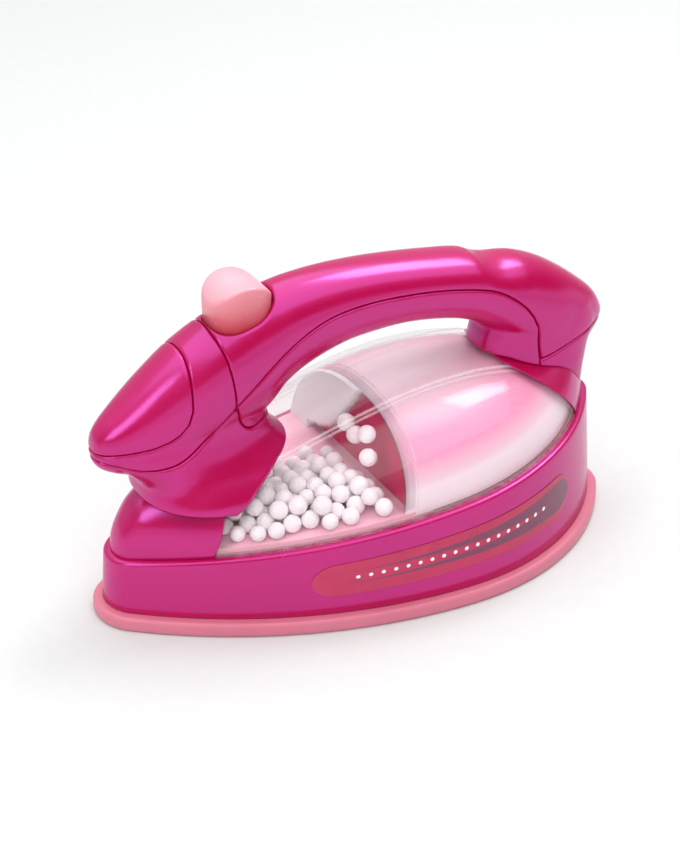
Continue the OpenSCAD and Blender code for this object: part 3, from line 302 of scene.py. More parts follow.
# Half-height and height of the middle at the front end, what each gains per mm, and the film's standing
BAND_HALF, BAND_FLARE, BAND_Z, BAND_CLIMB, BAND_PROUD = 4.9, 0.025, 15.1, 0.06, 0.12
MOTTLE = 6.25 * MM
STRIPES, STRIPE_HALF, STRIPE_TAPER, STRIPE_SOFT = (0.34, 0.68), 0.2, 1.4, 0.015
DOTS, DOT_PITCH, DOT_LINE, DOT_R, DOT_SOFT = 24, 0.3, 0.51, 0.055, 0.04
DOTS_FROM, DOTS_TO, DOT_FADE = 0.12, 0.88, 0.01
BAND_ROWS, BAND_COLS = 90, 9


def band_print():
    """Coral film with plum stripes that fan out to the heel and a row of small white dots."""
    material, tree, place = bare_material("printed_gloss_film")
    where = add(tree, "ShaderNodeSeparateXYZ", add(tree, "ShaderNodeTexCoord").outputs["UV"])
    along, across = where.outputs["X"], where.outputs["Y"]
    mottle = add(tree, "ShaderNodeTexNoise", Vector=place, Scale=1 / MOTTLE, Detail=4.0)
    film = add(tree, "ShaderNodeMix", add(tree, "ShaderNodeMapRange", mottle, 0.3, 0.7), linear("#C22C5A"),
               linear("#B82653"), data_type="RGBA")
    # Two tapering plum stripes, widest at the heel
    taper = add(tree, "ShaderNodeMath", along, STRIPE_TAPER, operation="POWER")
    swell = add(tree, "ShaderNodeMath", taper, STRIPE_HALF, operation="MULTIPLY")
    for centre in STRIPES:
        off = add(tree, "ShaderNodeMath", across, centre, operation="SUBTRACT")
        off = add(tree, "ShaderNodeMath", off, operation="ABSOLUTE")
        depth = add(tree, "ShaderNodeMath", swell, off, operation="SUBTRACT")
        inside = add(tree, "ShaderNodeMapRange", depth, 0.0, STRIPE_SOFT)
        film = add(tree, "ShaderNodeMix", inside, film, linear("#7A3A58"), data_type="RGBA")
    # White dots along the middle
    count_on = add(tree, "ShaderNodeMath", along, float(DOTS), operation="MULTIPLY")
    step = add(tree, "ShaderNodeMath", count_on, operation="FRACT")
    du = add(tree, "ShaderNodeMath", step, 0.5, operation="SUBTRACT")
    du = add(tree, "ShaderNodeMath", du, DOT_PITCH, operation="MULTIPLY")
    dv = add(tree, "ShaderNodeMath", across, DOT_LINE, operation="SUBTRACT")
    squares = [add(tree, "ShaderNodeMath", d, d, operation="MULTIPLY") for d in (du, dv)]
    away = add(tree, "ShaderNodeMath", *squares, operation="ADD")
    away = add(tree, "ShaderNodeMath", away, operation="SQRT")
    dots = add(tree, "ShaderNodeMapRange", away, DOT_R, DOT_SOFT)
    for low, high in ((DOTS_FROM, DOTS_FROM + DOT_FADE), (DOTS_TO, DOTS_TO - DOT_FADE)):
        within = add(tree, "ShaderNodeMapRange", along, low, high)
        dots = add(tree, "ShaderNodeMath", dots, within, operation="MULTIPLY")
    film = add(tree, "ShaderNodeMix", dots, film, linear("#FFFAFC"), data_type="RGBA")
    gloss = add(tree, "ShaderNodeMapRange", mottle, 0.3, 0.7, 0.2, 0.28)
    shader = add(tree, "ShaderNodeBsdfPrincipled", Base_Color=film, Roughness=gloss)
    add(tree, "ShaderNodeOutputMaterial", Surface=shader)
    return material


# Ink under a gloss film: flat, even colour with clean edges and a smooth sheen
printed = band_print()
band_u, band_v = np.linspace(0, 1, BAND_ROWS), np.linspace(0, 1, BAND_COLS)
for side, label in ((-1, "near"), (1, "far")):
    u, v = np.meshgrid((1 - np.cos(math.pi * band_u)) / 2, band_v, indexing="ij")
    x = BAND_FROM + (BAND_TO - BAND_FROM) * u
    past = np.maximum(np.maximum(BAND_FROM + BAND_ROUND - x, x - BAND_TO + BAND_ROUND), 0) / BAND_ROUND
    tall = (BAND_HALF + BAND_FLARE * (x - BAND_FROM)) * np.sqrt(np.maximum(1 - past ** 2, 0.0004))
    z = BAND_Z + BAND_CLIMB * (x - BAND_FROM) + (2 * v - 1) * tall
    y = side * (plan_half(x, drawn_in(z)) + BAND_PROUD)
    film = mesh_piece("side_band_" + label, np.stack([x, y, z], -1).reshape(-1, 3),
                      ring_faces(BAND_ROWS, BAND_COLS, closed=False), printed, nodes=["side_labels"],
                      slot="printed_band")
    uv = film.data.uv_layers.new(name="UVMap")
    corners = np.zeros(len(film.data.loops), int)
    film.data.loops.foreach_get("vertex_index", corners)
    uv.data.foreach_set("uv", np.stack([u.ravel()[corners], v.ravel()[corners]], -1).ravel())
    if side < 0:
        film.data.flip_normals()

# Tank dome: toe cap, clear cover and heel saddle share one crowned surface that stands on the rim
# inside the ledge. Caps are glossy magenta; the cover is clear and is trapped between them.

DOME_POWER = 2.3
CROWN = [(-79.6, 0.8), (-78.4, 6), (-76, 10.5), (-72, 15), (-64, 17.8), (-50, 19.6), (-30, 22.6), (-10, 25.7),
         (10, 28), (30, 27.6), (45, 24.8), (52, 22), (58, 19.9), (64, 18.8), (69, 17), (74, 13), (77, 7.5),
         (78.5, 0.8)]
STRIP_HALF, STRIP_RISE, CREASE_WID = 13.5, 0.55, 0.9
# Thinnest half-width and height of the dome, and how far its first rows sink at a rounded joint edge
DOME_LEAST, JOINT_SINK = 0.3, (0.42, 0.12, 0.03)


def curve(keys, x):
    """Smooth curve through listed points."""
    k = np.asarray(keys, float)
    kx, ky = k[:, 0], k[:, 1]
    before, after = np.maximum(np.arange(len(k)) - 1, 0), np.minimum(np.arange(len(k)) + 1, len(k) - 1)
    slope = (ky[after] - ky[before]) / (kx[after] - kx[before])
    x = np.asarray(x, float)
    i = np.clip(np.searchsorted(kx, x, side="right") - 1, 0, len(k) - 2)
    h = kx[i + 1] - kx[i]
    t = np.clip((x - kx[i]) / h, 0, 1)
    return (ky[i] * (1 + 2 * t) * (1 - t) ** 2 + slope[i] * h * t * (1 - t) ** 2
            + ky[i + 1] * t * t * (3 - 2 * t) + slope[i + 1] * h * t * t * (t - 1))


DOME_TOE = -HALF_LEN - drawn_in(rim(-HALF_LEN)) + LEDGE
DOME_HEEL = HALF_LEN + drawn_in(rim(HALF_LEN)) - LEDGE


def signed_power(v, n):
    """Cosine or sine of a circle turned into that of a superellipse of power n."""
    return np.sign(v) * np.abs(v) ** (2 / n)


def smoothstep(v, low, high):
    """Soft step from 0 at low to 1 at high."""
    t = np.clip((v - low) / (high - low), 0, 1)
    return t * t * (3 - 2 * t)


def dome_point(x, a, t, strip=0.0):
    """Point of the dome at x and arch angle a, t inside its surface; strip raises the middle of the top."""
    w = np.maximum(plan_half(x, drawn_in(rim(x)) - LEDGE - t), DOME_LEAST)
    h = np.minimum(np.minimum(curve(CROWN, x - t), curve(CROWN, x + t)), curve(CROWN, x) - t)
    y = -w * signed_power(np.cos(a), DOME_POWER)
    z = rim(x) + np.maximum(h, DOME_LEAST) * signed_power(np.sin(a), DOME_POWER)
    raised = strip * (1 - smoothstep(np.abs(y), STRIP_HALF, STRIP_HALF + CREASE_WID))
    return np.stack([x, y, z + raised], -1)


def dome_sheet(start, stop, angles, rows, t, strip=0.0):
    """Grid of dome points between two joint lines; start and stop give x for a height z, or are numbers."""

    def at(line):
        if not callable(line):
            return np.full(len(angles), float(line))
        x = np.zeros(len(angles))
        for _ in range(40):
            x = 0.5 * (x + line(dome_point(x, angles, t)[:, 2]))
        return x

    a, b = at(start), at(stop)
    grid_a = np.broadcast_to(angles, (len(rows), len(angles)))
    return dome_point(a + (b - a) * rows[:, None], grid_a, t, strip)


def dome_piece(name, start, stop, angles, rows, wall, material, round_first, round_last, strip=0.0,
               **extra):
    """Closed shell of the dome between two joints, its joint edges rounded over."""
    outer = dome_sheet(start, stop, angles, rows, 0.0, strip)
    inner = dome_sheet(start, stop, angles, rows, wall, strip)
    for on, edge in ((round_first, 0), (round_last, -1)):
        if on:
            for step, sink in enumerate(JOINT_SINK):
                i = step if edge == 0 else -1 - step
                outer[i] += (inner[i] - outer[i]) / wall * sink
    loops = np.concatenate([outer, inner[::-1]])
    n_rows, n_cols = loops.shape[:2]
    faces = ring_faces(n_rows, n_cols, closed=False, wrap=True)
    for column in (0, n_cols - 1):
        for i in range(len(rows) - 1):
            a, b = i * n_cols + column, (i + 1) * n_cols + column
            c, d = (n_rows - 2 - i) * n_cols + column, (n_rows - 1 - i) * n_cols + column
            faces.append([a, d, c, b] if column else [a, b, c, d])
    return mesh_piece(name, loops.reshape(-1, 3), faces, material, flip=True, **extra)


TOE_JOINT, TOE_LEAN, GROOVE = -56.0, 0.35, 0.1
CAP_T, COVER_T = 2.0, 1.6
SADDLE = [(40, 62), (43, 58.6), (48, 56), (54, 51.8), (60, 46.6), (65, 41), (69.5, 34)]


def toe_line(gap):
    """Joint of toe cap and cover: x for a height, moved by a gap."""
    return lambda z: TOE_JOINT + TOE_LEAN * (z - rim(TOE_JOINT)) + gap


def saddle_line(gap):
    """Joint of cover and heel saddle: x for a height, moved by a gap."""
    heights = [k[1] for k in SADDLE][::-1]
    places = [k[0] for k in SADDLE][::-1]
    return lambda z: np.interp(z, heights, places) + gap


arch = np.linspace(0, math.pi, 97)
toe_rows = 1 - np.cos(np.linspace(0, math.pi / 2, 60))
# Close rows at the joints, for their rounded edges
toe_rows = np.unique(np.concatenate([toe_rows, [0.985, 0.995]]))
dome_piece("toe_cap_shell", DOME_TOE, toe_line(-GROOVE), arch, toe_rows, CAP_T, magenta, False, True,
           nodes=["toe_cap"], slot="magenta_gloss")
heel_rows = np.unique(np.concatenate([np.sin(np.linspace(0, math.pi / 2, 70)), [0.005, 0.015]]))
dome_piece("saddle_shell", saddle_line(GROOVE), DOME_HEEL, arch, heel_rows, CAP_T, magenta, True, False,
           nodes=["heel_saddle"], slot="magenta_gloss")


SMEAR = 22.2 * MM
HEAD_ON, SLANT_POWER = 0.04, 5.0


def clear_plastic(name, tint, haze, gloss, mirror_share):
    """Clear styrene: see-through, mirroring more at a slant, with a smeared haze and marked milky places."""
    material, tree, place = bare_material(name)
    through = add(tree, "ShaderNodeBsdfTransparent", Color=linear(tint))
    mirror = add(tree, "ShaderNodeBsdfGlossy", Roughness=gloss)
    # Mirror share by Schlick's rule, the same on both faces of the thin wall
    facing = add(tree, "ShaderNodeLayerWeight", Blend=0.5).outputs["Facing"]
    slant = add(tree, "ShaderNodeMath", facing, SLANT_POWER, operation="POWER")
    share = add(tree, "ShaderNodeMapRange", slant, 0.0, 1.0, HEAD_ON * mirror_share, mirror_share)
    bright = add(tree, "ShaderNodeMixShader", share, through, mirror)
    smear = add(tree, "ShaderNodeTexNoise", Vector=place, Scale=1 / SMEAR, Detail=5.0)
    smear = add(tree, "ShaderNodeMapRange", smear, 0.3, 0.75, 0.6 * haze, 1.4 * haze)
    edge = add(tree, "ShaderNodeAttribute", attribute_name="edge").outputs["Fac"]
    cloud = add(tree, "ShaderNodeMath", smear, edge, operation="ADD", use_clamp=True)
    milk = add(tree, "ShaderNodeBsdfPrincipled", Base_Color=linear("#FFFFFF"), Roughness=0.5)
    film = add(tree, "ShaderNodeMixShader", cloud, bright, milk)
    add(tree, "ShaderNodeOutputMaterial", Surface=film)
    return material


def frost(obj, share):
    """Marks how milky each point of a clear piece is, where its edges scatter the light."""
    mark = obj.data.attributes.new("edge", "FLOAT", "POINT")
    mark.data.foreach_set("value", np.asarray(share, np.float32))


# Polished clear styrene: what lies behind shows crisply, with a sharp image of the lights and milky creases
clear = clear_plastic("clear_styrene_polished", "#FFFDFE", 0.008, 0.03, 0.7)
# Close columns at the two creases, and close rows at the joints
COVER_HALF, CREASE_SPREAD = 38.0, 0.1
strip_angle = math.acos((STRIP_HALF / COVER_HALF) ** (DOME_POWER / 2))
crease_arch = np.linspace(strip_angle - CREASE_SPREAD, strip_angle + CREASE_SPREAD, 24)
cover_arch = np.unique(np.concatenate([arch, crease_arch, math.pi - crease_arch]))
cover_rows = np.unique(np.concatenate([np.linspace(0, 1, 110), [0.004, 0.012, 0.988, 0.996]]))
cover = dome_piece("clear_cover", toe_line(GROOVE), saddle_line(-GROOVE), cover_arch, cover_rows, COVER_T,
                   clear, True, True, STRIP_RISE, nodes=["tank_cover"], slot="clear_tank")
CREASE_MILK, FOOT_MILK = 0.3, 0.12
spot = np.array([v.co for v in cover.data.vertices]) / MM
crease = 1 - smoothstep(np.abs(np.abs(spot[:, 1]) - STRIP_HALF - CREASE_WID / 2), 0.1, 0.4)
foot = 1 - smoothstep(spot[:, 2] - rim(spot[:, 0]), 1.0, 2.2)
frost(cover, np.maximum(CREASE_MILK * crease, FOOT_MILK * foot))

# Inside the tank: a pale pink floor, a leaning clear partition with a flange against the cover, the
# magenta blower plate behind it, and a pearly pink liner that hides the motor under the rear cover.

PARTITION_X, PARTITION_LEAN, FLOOR_T = -4.5, math.radians(8.4), 1.5
GLOW_SHARE, MILKY_SIDE = 0.12, 0.8
# The liner's painted bands of light and shade run from low to high and tilt with x; its flakes are 0.38 mm
BAND_TILT, BAND_LOW, BAND_HIGH, FLAKE = -0.14, 30 * MM, 62 * MM, 0.3846 * MM


def pearl(name, deep, pale, sparkle):
    """Pearly plastic with a fine glitter, paler at its foot and crown than in its middle: painted reflections
    and painted shade.
    """
    material, tree, place = bare_material(name)
    apart = add(tree, "ShaderNodeSeparateXYZ", place)
    tilt = add(tree, "ShaderNodeMath", apart.outputs["X"], BAND_TILT, apart.outputs["Z"],
               operation="MULTIPLY_ADD")
    # The ramp paints light and shade: pale painted reflections at the foot and crown, deeper pink in the
    # middle
    painted_light_bands = add(tree, "ShaderNodeValToRGB", add(tree, "ShaderNodeMapRange", tilt, BAND_LOW, BAND_HIGH))
    ramp = painted_light_bands.color_ramp
    ramp.elements[0].position, ramp.elements[0].color = 0.0, linear(pale)
    ramp.elements[1].position, ramp.elements[1].color = 1.0, linear(pale)
    for spot, colour in ((0.22, pale), (0.46, deep), (0.58, deep), (0.78, pale)):
        ramp.elements.new(spot).color = linear(colour)
    glitter = add(tree, "ShaderNodeTexVoronoi", Vector=place, Scale=1 / FLAKE).outputs["Color"]
    chance = add(tree, "ShaderNodeSeparateXYZ", glitter).outputs["X"]
    flake = add(tree, "ShaderNodeMapRange", chance, 0.8, 1.0)
    lit = add(tree, "ShaderNodeMapRange", flake, 0.0, 1.0, 0.0, sparkle)
    colour = add(tree, "ShaderNodeMix", lit, painted_light_bands, linear("#FFF4F8"), data_type="RGBA")
    gloss = add(tree, "ShaderNodeMapRange", flake, 0.0, 1.0, 0.42, 0.2)
    shader = add(tree, "ShaderNodeBsdfPrincipled", Base_Color=colour, Roughness=gloss, Sheen_Weight=0.3,
                 Sheen_Tint=linear("#FFD9E8"))
    glow = add(tree, "ShaderNodeBsdfTranslucent", Color=linear("#FFF0F4"))
    thin = add(tree, "ShaderNodeMixShader", GLOW_SHARE, shader, glow)
    add(tree, "ShaderNodeOutputMaterial", Surface=thin)
    return material


# Thin pearl styrene: a soft satin glow that is pale at the edges, a painted reflection, with tiny bright
# flakes
pearl_pink = pearl("pearl_pink_liner", "#FB9AC2", "#FFEFF5", 0.35)
# Plain styrene, moulded smooth: a quiet, even pink under the beads
floor_pink = moulded("pale_pink_styrene_floor", "#FBC4D4", "#F6BACC", 0.3)
tank_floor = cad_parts["tank_floor"]
tank_floor.data.materials.clear()
tank_floor.data.materials.append(floor_pink)

LINER_IN, LINER_T, LINER_LIFT, FLANGE_LEN = 2.1, 0.8, 0.012, 5.4
LIP_LEN, LIP_IN, LINER_COLS, LINER_GAP = 3.8, (2.66, 2.86), 81, 0.4
liner_arch = np.linspace(LINER_LIFT, math.pi - LINER_LIFT, LINER_COLS)


def liner_front(z):
    """Front edge of the liner, just behind the flange: x for a height."""
    return (PARTITION_X + (FLANGE_LEN + LINER_GAP) / math.cos(PARTITION_LEAN)
            + (z - rim(PARTITION_X)) * math.tan(PARTITION_LEAN))


def lip_front(z):
    """Front edge of the lip that the liner has under the flange."""
    return liner_front(z) - LIP_LEN


liner = [dome_sheet(liner_front, saddle_line(1.0), liner_arch, np.linspace(0, 1, 70), t)
         for t in (LINER_IN, LINER_IN + LINER_T)]
lip = [dome_sheet(lip_front, liner_front, liner_arch, np.linspace(0, 1, 4)[:-1], t) for t in LIP_IN]
shell = np.concatenate([lip[0], liner[0], liner[1][::-1], lip[1][::-1]])
liner_faces = ring_faces(len(shell), LINER_COLS, closed=False, wrap=True)
mesh_piece("liner_shell", shell.reshape(-1, 3), liner_faces, pearl_pink,
           nodes=["rear_liner"], slot="pale_pink", flip=True)


def leaning(x_back, y, z):
    """Point of a plane parallel to the partition, x_back behind it, at y and height z."""
    up = z - rim(PARTITION_X)
    return np.stack([PARTITION_X + x_back + up * math.tan(PARTITION_LEAN) + 0 * y, y, z + 0 * y], -1)


def tank_section(x_back, t, n):
    """Outline of the tank's inside on a leaning plane, from near floor over crown to far floor."""
    points = []
    for a in np.linspace(0, math.pi, n):
        x = PARTITION_X + x_back
        for _ in range(12):
            p = dome_point(np.array([x]), np.array([a]), t)[0]
            x = PARTITION_X + x_back + (p[2] - rim(PARTITION_X)) * math.tan(PARTITION_LEAN)
        points.append(p)
    return np.array(points)


def slab(front, back):
    """Points and faces of a plate between two outlines with the same number of points."""
    n = len(front)
    faces = ring_faces(2, n) + [list(range(n - 1, -1, -1)), list(range(n, 2 * n))]
    return np.vstack([front, back]), faces


def above_floor(line):
    """The part of an outline that stands above the tank's floor."""
    return line[line[:, 2] > rim(line[:, 0]) + FLOOR_T]


# Thin clear styrene: barely mirrors, and is milky where it is frosted on its far side and at its edges
clear_edge = clear_plastic("clear_styrene_partition", "#FFFDFE", 0.004, 0.05, 0.12)
PARTITION_T, PARTITION_IN, SECTION_COLS = 1.4, 1.9, 81
partition_rows = np.linspace(0, 1, 24)[:, None, None]
partition_faces = []
for back in (0.0, PARTITION_T):
    brim = above_floor(tank_section(back, PARTITION_IN, SECTION_COLS))
    foot_line = brim.copy()
    foot_line[:, 2] = rim(PARTITION_X) + FLOOR_T
    foot_line = leaning(back, foot_line[:, 1], foot_line[:, 2])
    partition_faces.append(foot_line + (brim - foot_line) * partition_rows)
fewest = min(grid.shape[1] for grid in partition_faces)
front, rear = (grid[:, (grid.shape[1] - fewest) // 2:][:, :fewest] for grid in partition_faces)
sheets = np.concatenate([front, rear[::-1]])
sheet_faces = ring_faces(len(sheets), fewest, closed=False, wrap=True)
partition = mesh_piece("partition", sheets.reshape(-1, 3), sheet_faces, clear_edge,
                       nodes=["tank_partition"], slot="clear_tank", smooth=False, flip=True)
# Far edge of the blower plate as heights and places, an S curve; the frost starts a little before it
PLATE_EDGE = [(33.4, 27.0), (35.0, 20.0), (37.6, 14.0), (41.5, 10.0), (47.5, 6.0), (52.5, 2.4), (56.0, 0.6)]
plate_z, plate_y = np.array(PLATE_EDGE).T
past_plate = sheets[..., 1] - np.interp(sheets[..., 2], plate_z, plate_y)
frost(partition, (MILKY_SIDE * smoothstep(past_plate, -5.0, -1.6)).ravel())
# Rings of the flange: how far behind the partition, how far inside the dome, and how milky
FLANGE_RINGS = ((1.4, 1.9, 0.25), (2.0, 1.9, 0.03), (4.9, 1.9, 0.03), (5.4, 1.9, 0.25), (5.4, 2.6, 0.2),
                (1.4, 2.6, 0.03))
flange = [above_floor(tank_section(back, t, SECTION_COLS)) for back, t, _ in FLANGE_RINGS]
fewest = min(len(ring) for ring in flange)
flange = np.array([ring[(len(ring) - fewest) // 2:][:fewest] for ring in flange])
flange_faces = ring_faces(len(FLANGE_RINGS), fewest, closed=False, wrap=True)
flange_piece = mesh_piece("partition_flange", flange.reshape(-1, 3), flange_faces, clear_edge,
                          nodes=["tank_partition"], slot="clear_tank", smooth=False, flip=True)
frost(flange_piece, np.repeat([milky for _, _, milky in FLANGE_RINGS], fewest))

PLATE_FACES, PLATE_IN, PLATE_COLS, PLATE_PAST = (3.8, 5.2), 2.9, 121, 0.8
plate_sides = []
for back in PLATE_FACES:
    line = above_floor(tank_section(back, PLATE_IN, PLATE_COLS))
    near = line[line[:, 1] < PLATE_PAST]
    heights = np.linspace(near[-1][2] - 0.2, rim(PARTITION_X) + FLOOR_T + 0.6, 40)
    far_edge = leaning(back, np.interp(heights, plate_z, plate_y), heights)
    plate_sides.append((near, far_edge))
fewest = min(len(near) for near, _ in plate_sides)
plate_sides = [np.vstack([near[len(near) - fewest:], far_edge]) for near, far_edge in plate_sides]
points, faces = slab(*plate_sides)
# Satin ABS seen through two clear walls: a deep colour with almost no highlight of its own
dull_magenta = moulded("magenta_abs_satin", "#F2086A", "#EA0664", 0.4, shine=0.05)
mesh_piece("plate_panel", points, faces, dull_magenta, nodes=["blower_plate"], slot="magenta_gloss",
           smooth=False, flip=True)

# Foam beads: matt white expanded foam balls, a little uneven in size, lying loose in a heap against
# the partition, with a few that cling to it by static.

BEAD_R, BEAD_PITCH = 2.7, 5.55
HEAP_LEN, HEAP_SIDE = (60, 46), (9, -3)
BEAD_SIDE, BEAD_LEAN, BEAD_HEAD, BEAD_BACK, BEAD_LIFT = 2.3, 3.6, 3.0, 1.4, 0.1
ROW_STEP, LAYER_SHIFT = BEAD_PITCH * math.sqrt(3) / 2, BEAD_PITCH / math.sqrt(3)
# Where beads cling, as shares of the tank's half-width and height
CLING = [(-0.088, 0.695), (-0.263, 0.655), (-0.436, 0.783), (-0.51, 0.53)]
SINK, DRIFT_NEAR, BEAD_AIR, PUSH_SHARE, SETTLE_STEPS = 0.06, 0.012, 0.03, 0.7, 160
SIDE_AIR, FLOOR_AIR, WALL_AIR, CLING_AIR = 0.4, 0.02, 0.15, 0.2
draw = np.random.default_rng(7)


def tank_side(x):
    """Half-width of the tank's inside at its foot."""
    return plan_half(x, drawn_in(rim(x)) - LEDGE - COVER_T)


def heaped_beads():
    """Bead centres in two staggered layers, on the near side of the floor against the partition."""
    spots = []
    for k in range(2):
        for i in range(10):
            x = PARTITION_X - BEAD_R - BEAD_BACK - ROW_STEP * i - LAYER_SHIFT * k
            z = rim(x) + FLOOR_T + BEAD_R + BEAD_LIFT + k * BEAD_PITCH
            for j in range(-8, 9):
                y = (j + (i + k) % 2 / 2) * BEAD_PITCH
                clear_of_toe = x > TOE_JOINT + TOE_LEAN * (z - rim(TOE_JOINT)) + CAP_T + BEAD_R
                clear_of_side = tank_side(x) - abs(y) > BEAD_R + BEAD_SIDE + k * BEAD_LEAN
                clear_of_roof = z + BEAD_R + BEAD_HEAD < rim(x) + curve(CROWN, x) - COVER_T
                in_heap = x > PARTITION_X - HEAP_LEN[k] and y < HEAP_SIDE[k]
                if clear_of_toe and clear_of_side and clear_of_roof and in_heap:
                    spots.append((x, y, z))
    return np.array(spots)


def settled(p, r, steps):
    """Bead centres after they are pushed apart and sink until they lie on each other and on the floor."""
    p = p.copy()
    for _ in range(steps):
        p[:, 2] -= SINK
        p[:, 1] -= DRIFT_NEAR
        gap = p[:, None] - p[None]
        far = np.sqrt((gap ** 2).sum(-1)) + np.eye(len(p)) * 1e3
        push = np.maximum(r[:, None] + r[None] + BEAD_AIR - far, 0) / 2
        p += (gap / far[..., None] * push[..., None]).sum(1) * PUSH_SHARE
        up = np.clip((p[:, 2] + 0.7 * r - rim(p[:, 0])) / (curve(CROWN, p[:, 0]) - COVER_T), 0, 0.95)
        side = (tank_side(p[:, 0]) - SIDE_AIR) * (1 - up ** DOME_POWER) ** (1 / DOME_POWER) - r
        p[:, 1] = np.clip(p[:, 1], -side, side)
        p[:, 2] = np.maximum(p[:, 2], rim(p[:, 0]) + FLOOR_T + r + FLOOR_AIR)
        wall = PARTITION_X + (p[:, 2] - rim(PARTITION_X)) * math.tan(PARTITION_LEAN) - r - WALL_AIR
        toe = TOE_JOINT + TOE_LEAN * (p[:, 2] - rim(TOE_JOINT)) + CAP_T + r
        p[:, 0] = np.clip(p[:, 0], toe, wall)
    return p


bead_at = heaped_beads()
bead_r = BEAD_R * draw.uniform(0.86, 1.07, len(bead_at))
bead_at = settled(bead_at + draw.uniform(-1.3, 1.3, bead_at.shape), bead_r, SETTLE_STEPS)
tank_h = curve(CROWN, PARTITION_X) - COVER_T
across, up = np.array(CLING).T
cling_z = rim(PARTITION_X) + up * tank_h * math.cos(PARTITION_LEAN)
cling = leaning(-BEAD_R - CLING_AIR, across * tank_side(PARTITION_X), cling_z)
bead_at = np.vstack([bead_at, cling])
bead_r = np.concatenate([bead_r, np.full(len(cling), BEAD_R)])


CELL, BALL_DETAIL = 0.714 * MM, 4


def foam():
    """Matt white foam with the faint cell pattern of expanded beads."""
    material, tree, place = bare_material("expanded_foam_white")
    cells = add(tree, "ShaderNodeTexVoronoi", Vector=place, Scale=1 / CELL).outputs["Distance"]
    shade = add(tree, "ShaderNodeMapRange", cells, 0.0, 0.7)
    colour = add(tree, "ShaderNodeMix", shade, linear("#FFFDFD"), linear("#F4EEF0"), data_type="RGBA")
    shader = add(tree, "ShaderNodeBsdfPrincipled", Base_Color=colour,
                 Roughness=add(tree, "ShaderNodeMapRange", cells, 0.0, 0.7, 0.5, 0.65),
                 Normal=add(tree, "ShaderNodeBump", Strength=0.12, Distance=GRAIN_DEEP, Height=cells),
                 Subsurface_Weight=0.25, Subsurface_Radius=(1.2 * MM, 1.0 * MM, 1.0 * MM))
    add(tree, "ShaderNodeOutputMaterial", Surface=shader)
    return material


def scattered(name, centres, radii, material):
    """One mesh of balls, instanced on points by Geometry Nodes and made real."""
    mesh = bpy.data.meshes.new(name)
    mesh.from_pydata((centres * MM).tolist(), [], [])
    size = mesh.attributes.new("radius", "FLOAT", "POINT")
    size.data.foreach_set("value", (radii * MM).astype(np.float32))
    obj = bpy.data.objects.new(name, mesh)
    bpy.context.scene.collection.objects.link(obj)
    group = bpy.data.node_groups.new(name + "_balls", "GeometryNodeTree")
    group.interface.new_socket("Points", in_out="INPUT", socket_type="NodeSocketGeometry")
    group.interface.new_socket("Ball Detail", in_out="INPUT", socket_type="NodeSocketInt")
    group.interface.new_socket("Balls", in_out="OUTPUT", socket_type="NodeSocketGeometry")
    enter = add(group, "NodeGroupInput")
    ball = add(group, "GeometryNodeMeshIcoSphere", Radius=1.0, Subdivisions=enter.outputs["Ball Detail"])
    radius = add(group, "GeometryNodeInputNamedAttribute", data_type="FLOAT", Name="radius")
    spread = add(group, "GeometryNodeInstanceOnPoints", Points=enter.outputs["Points"], Instance=ball,
                 Scale=radius.outputs["Attribute"])
    real = add(group, "GeometryNodeRealizeInstances", Geometry=spread)
    soft = add(group, "GeometryNodeSetShadeSmooth", Geometry=real)
    dressed = add(group, "GeometryNodeSetMaterial", Geometry=soft, Material=material)
    add(group, "NodeGroupOutput", Balls=dressed)
    modifier = obj.modifiers.new("balls", "NODES")
    modifier.node_group = group
    for item in group.interface.items_tree:
        if item.name == "Ball Detail":
            modifier[item.identifier] = BALL_DETAIL
    bpy.context.view_layer.update()
    plain = bpy.data.meshes.new_from_object(obj.evaluated_get(bpy.context.evaluated_depsgraph_get()))
    obj.modifiers.remove(modifier)
    obj.data = plain
    return obj


# Expanded foam: chalk white and dull, with light seeping a little way into each ball
beads = scattered("bead_heap", bead_at, bead_r, foam())
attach(beads, "iron")
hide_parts("foam_beads")

# Handle: glossy magenta mouldings that flow into one another. A looped grip with a spear-shaped nose
# stands on two flared posts, and is parted by thin grooves into nose cap, collar, grip and posts.

GRIP_POWER, POST_POWER, RING_COLS, END_STEPS = 2.25, 2.5, 96, (0.2, 0.5, 0.9)
# The grip's top line, underside and half-width along x, and the seam between its shells, in side view
TOP = [(-84, 58.2), (-83.2, 60.8), (-81, 63.5), (-77, 67), (-72, 71.3), (-66, 76.3), (-58, 82.3), (-50, 87),
       (-42, 90.6), (-33, 93.6), (-24, 95.6), (-15, 96.5), (-6, 96.7), (4, 96.3), (14, 95.4), (24, 94.2),
       (36, 92.3), (40, 90.4), (45, 89), (50, 88.5), (54, 87.8), (61, 85.1), (68, 81), (75, 75.8), (81, 70.3),
       (84.4, 64.6)]
UNDER = [(-84, 53), (-82.8, 50.9), (-80, 49), (-76, 47.5), (-70, 46.5), (-60, 48), (-50, 51), (-44, 53),
         (-38, 55.4), (-33, 57.6), (-30, 60.4), (-27, 64), (-22, 67.6), (-15, 70.9), (-6, 73.7), (4, 74.9),
         (12, 75.2), (21, 74.4), (31, 72.4), (38, 69.6), (46, 64), (52, 58), (58, 50.5), (66, 47.5),
         (74, 50.5), (80, 56), (84.4, 60.8)]
HALF = [(-84, 2.2), (-82.8, 4.6), (-80, 7), (-76, 9.1), (-71, 10.9), (-66, 12), (-58, 13.2), (-50, 13.6),
        (-40, 13.2), (-28, 12.3), (-12, 11.6), (6, 11.4), (24, 11.6), (40, 12.2), (54, 13), (64, 12.6),
        (72, 10.6), (79, 7.2), (83, 4), (84.4, 2)]
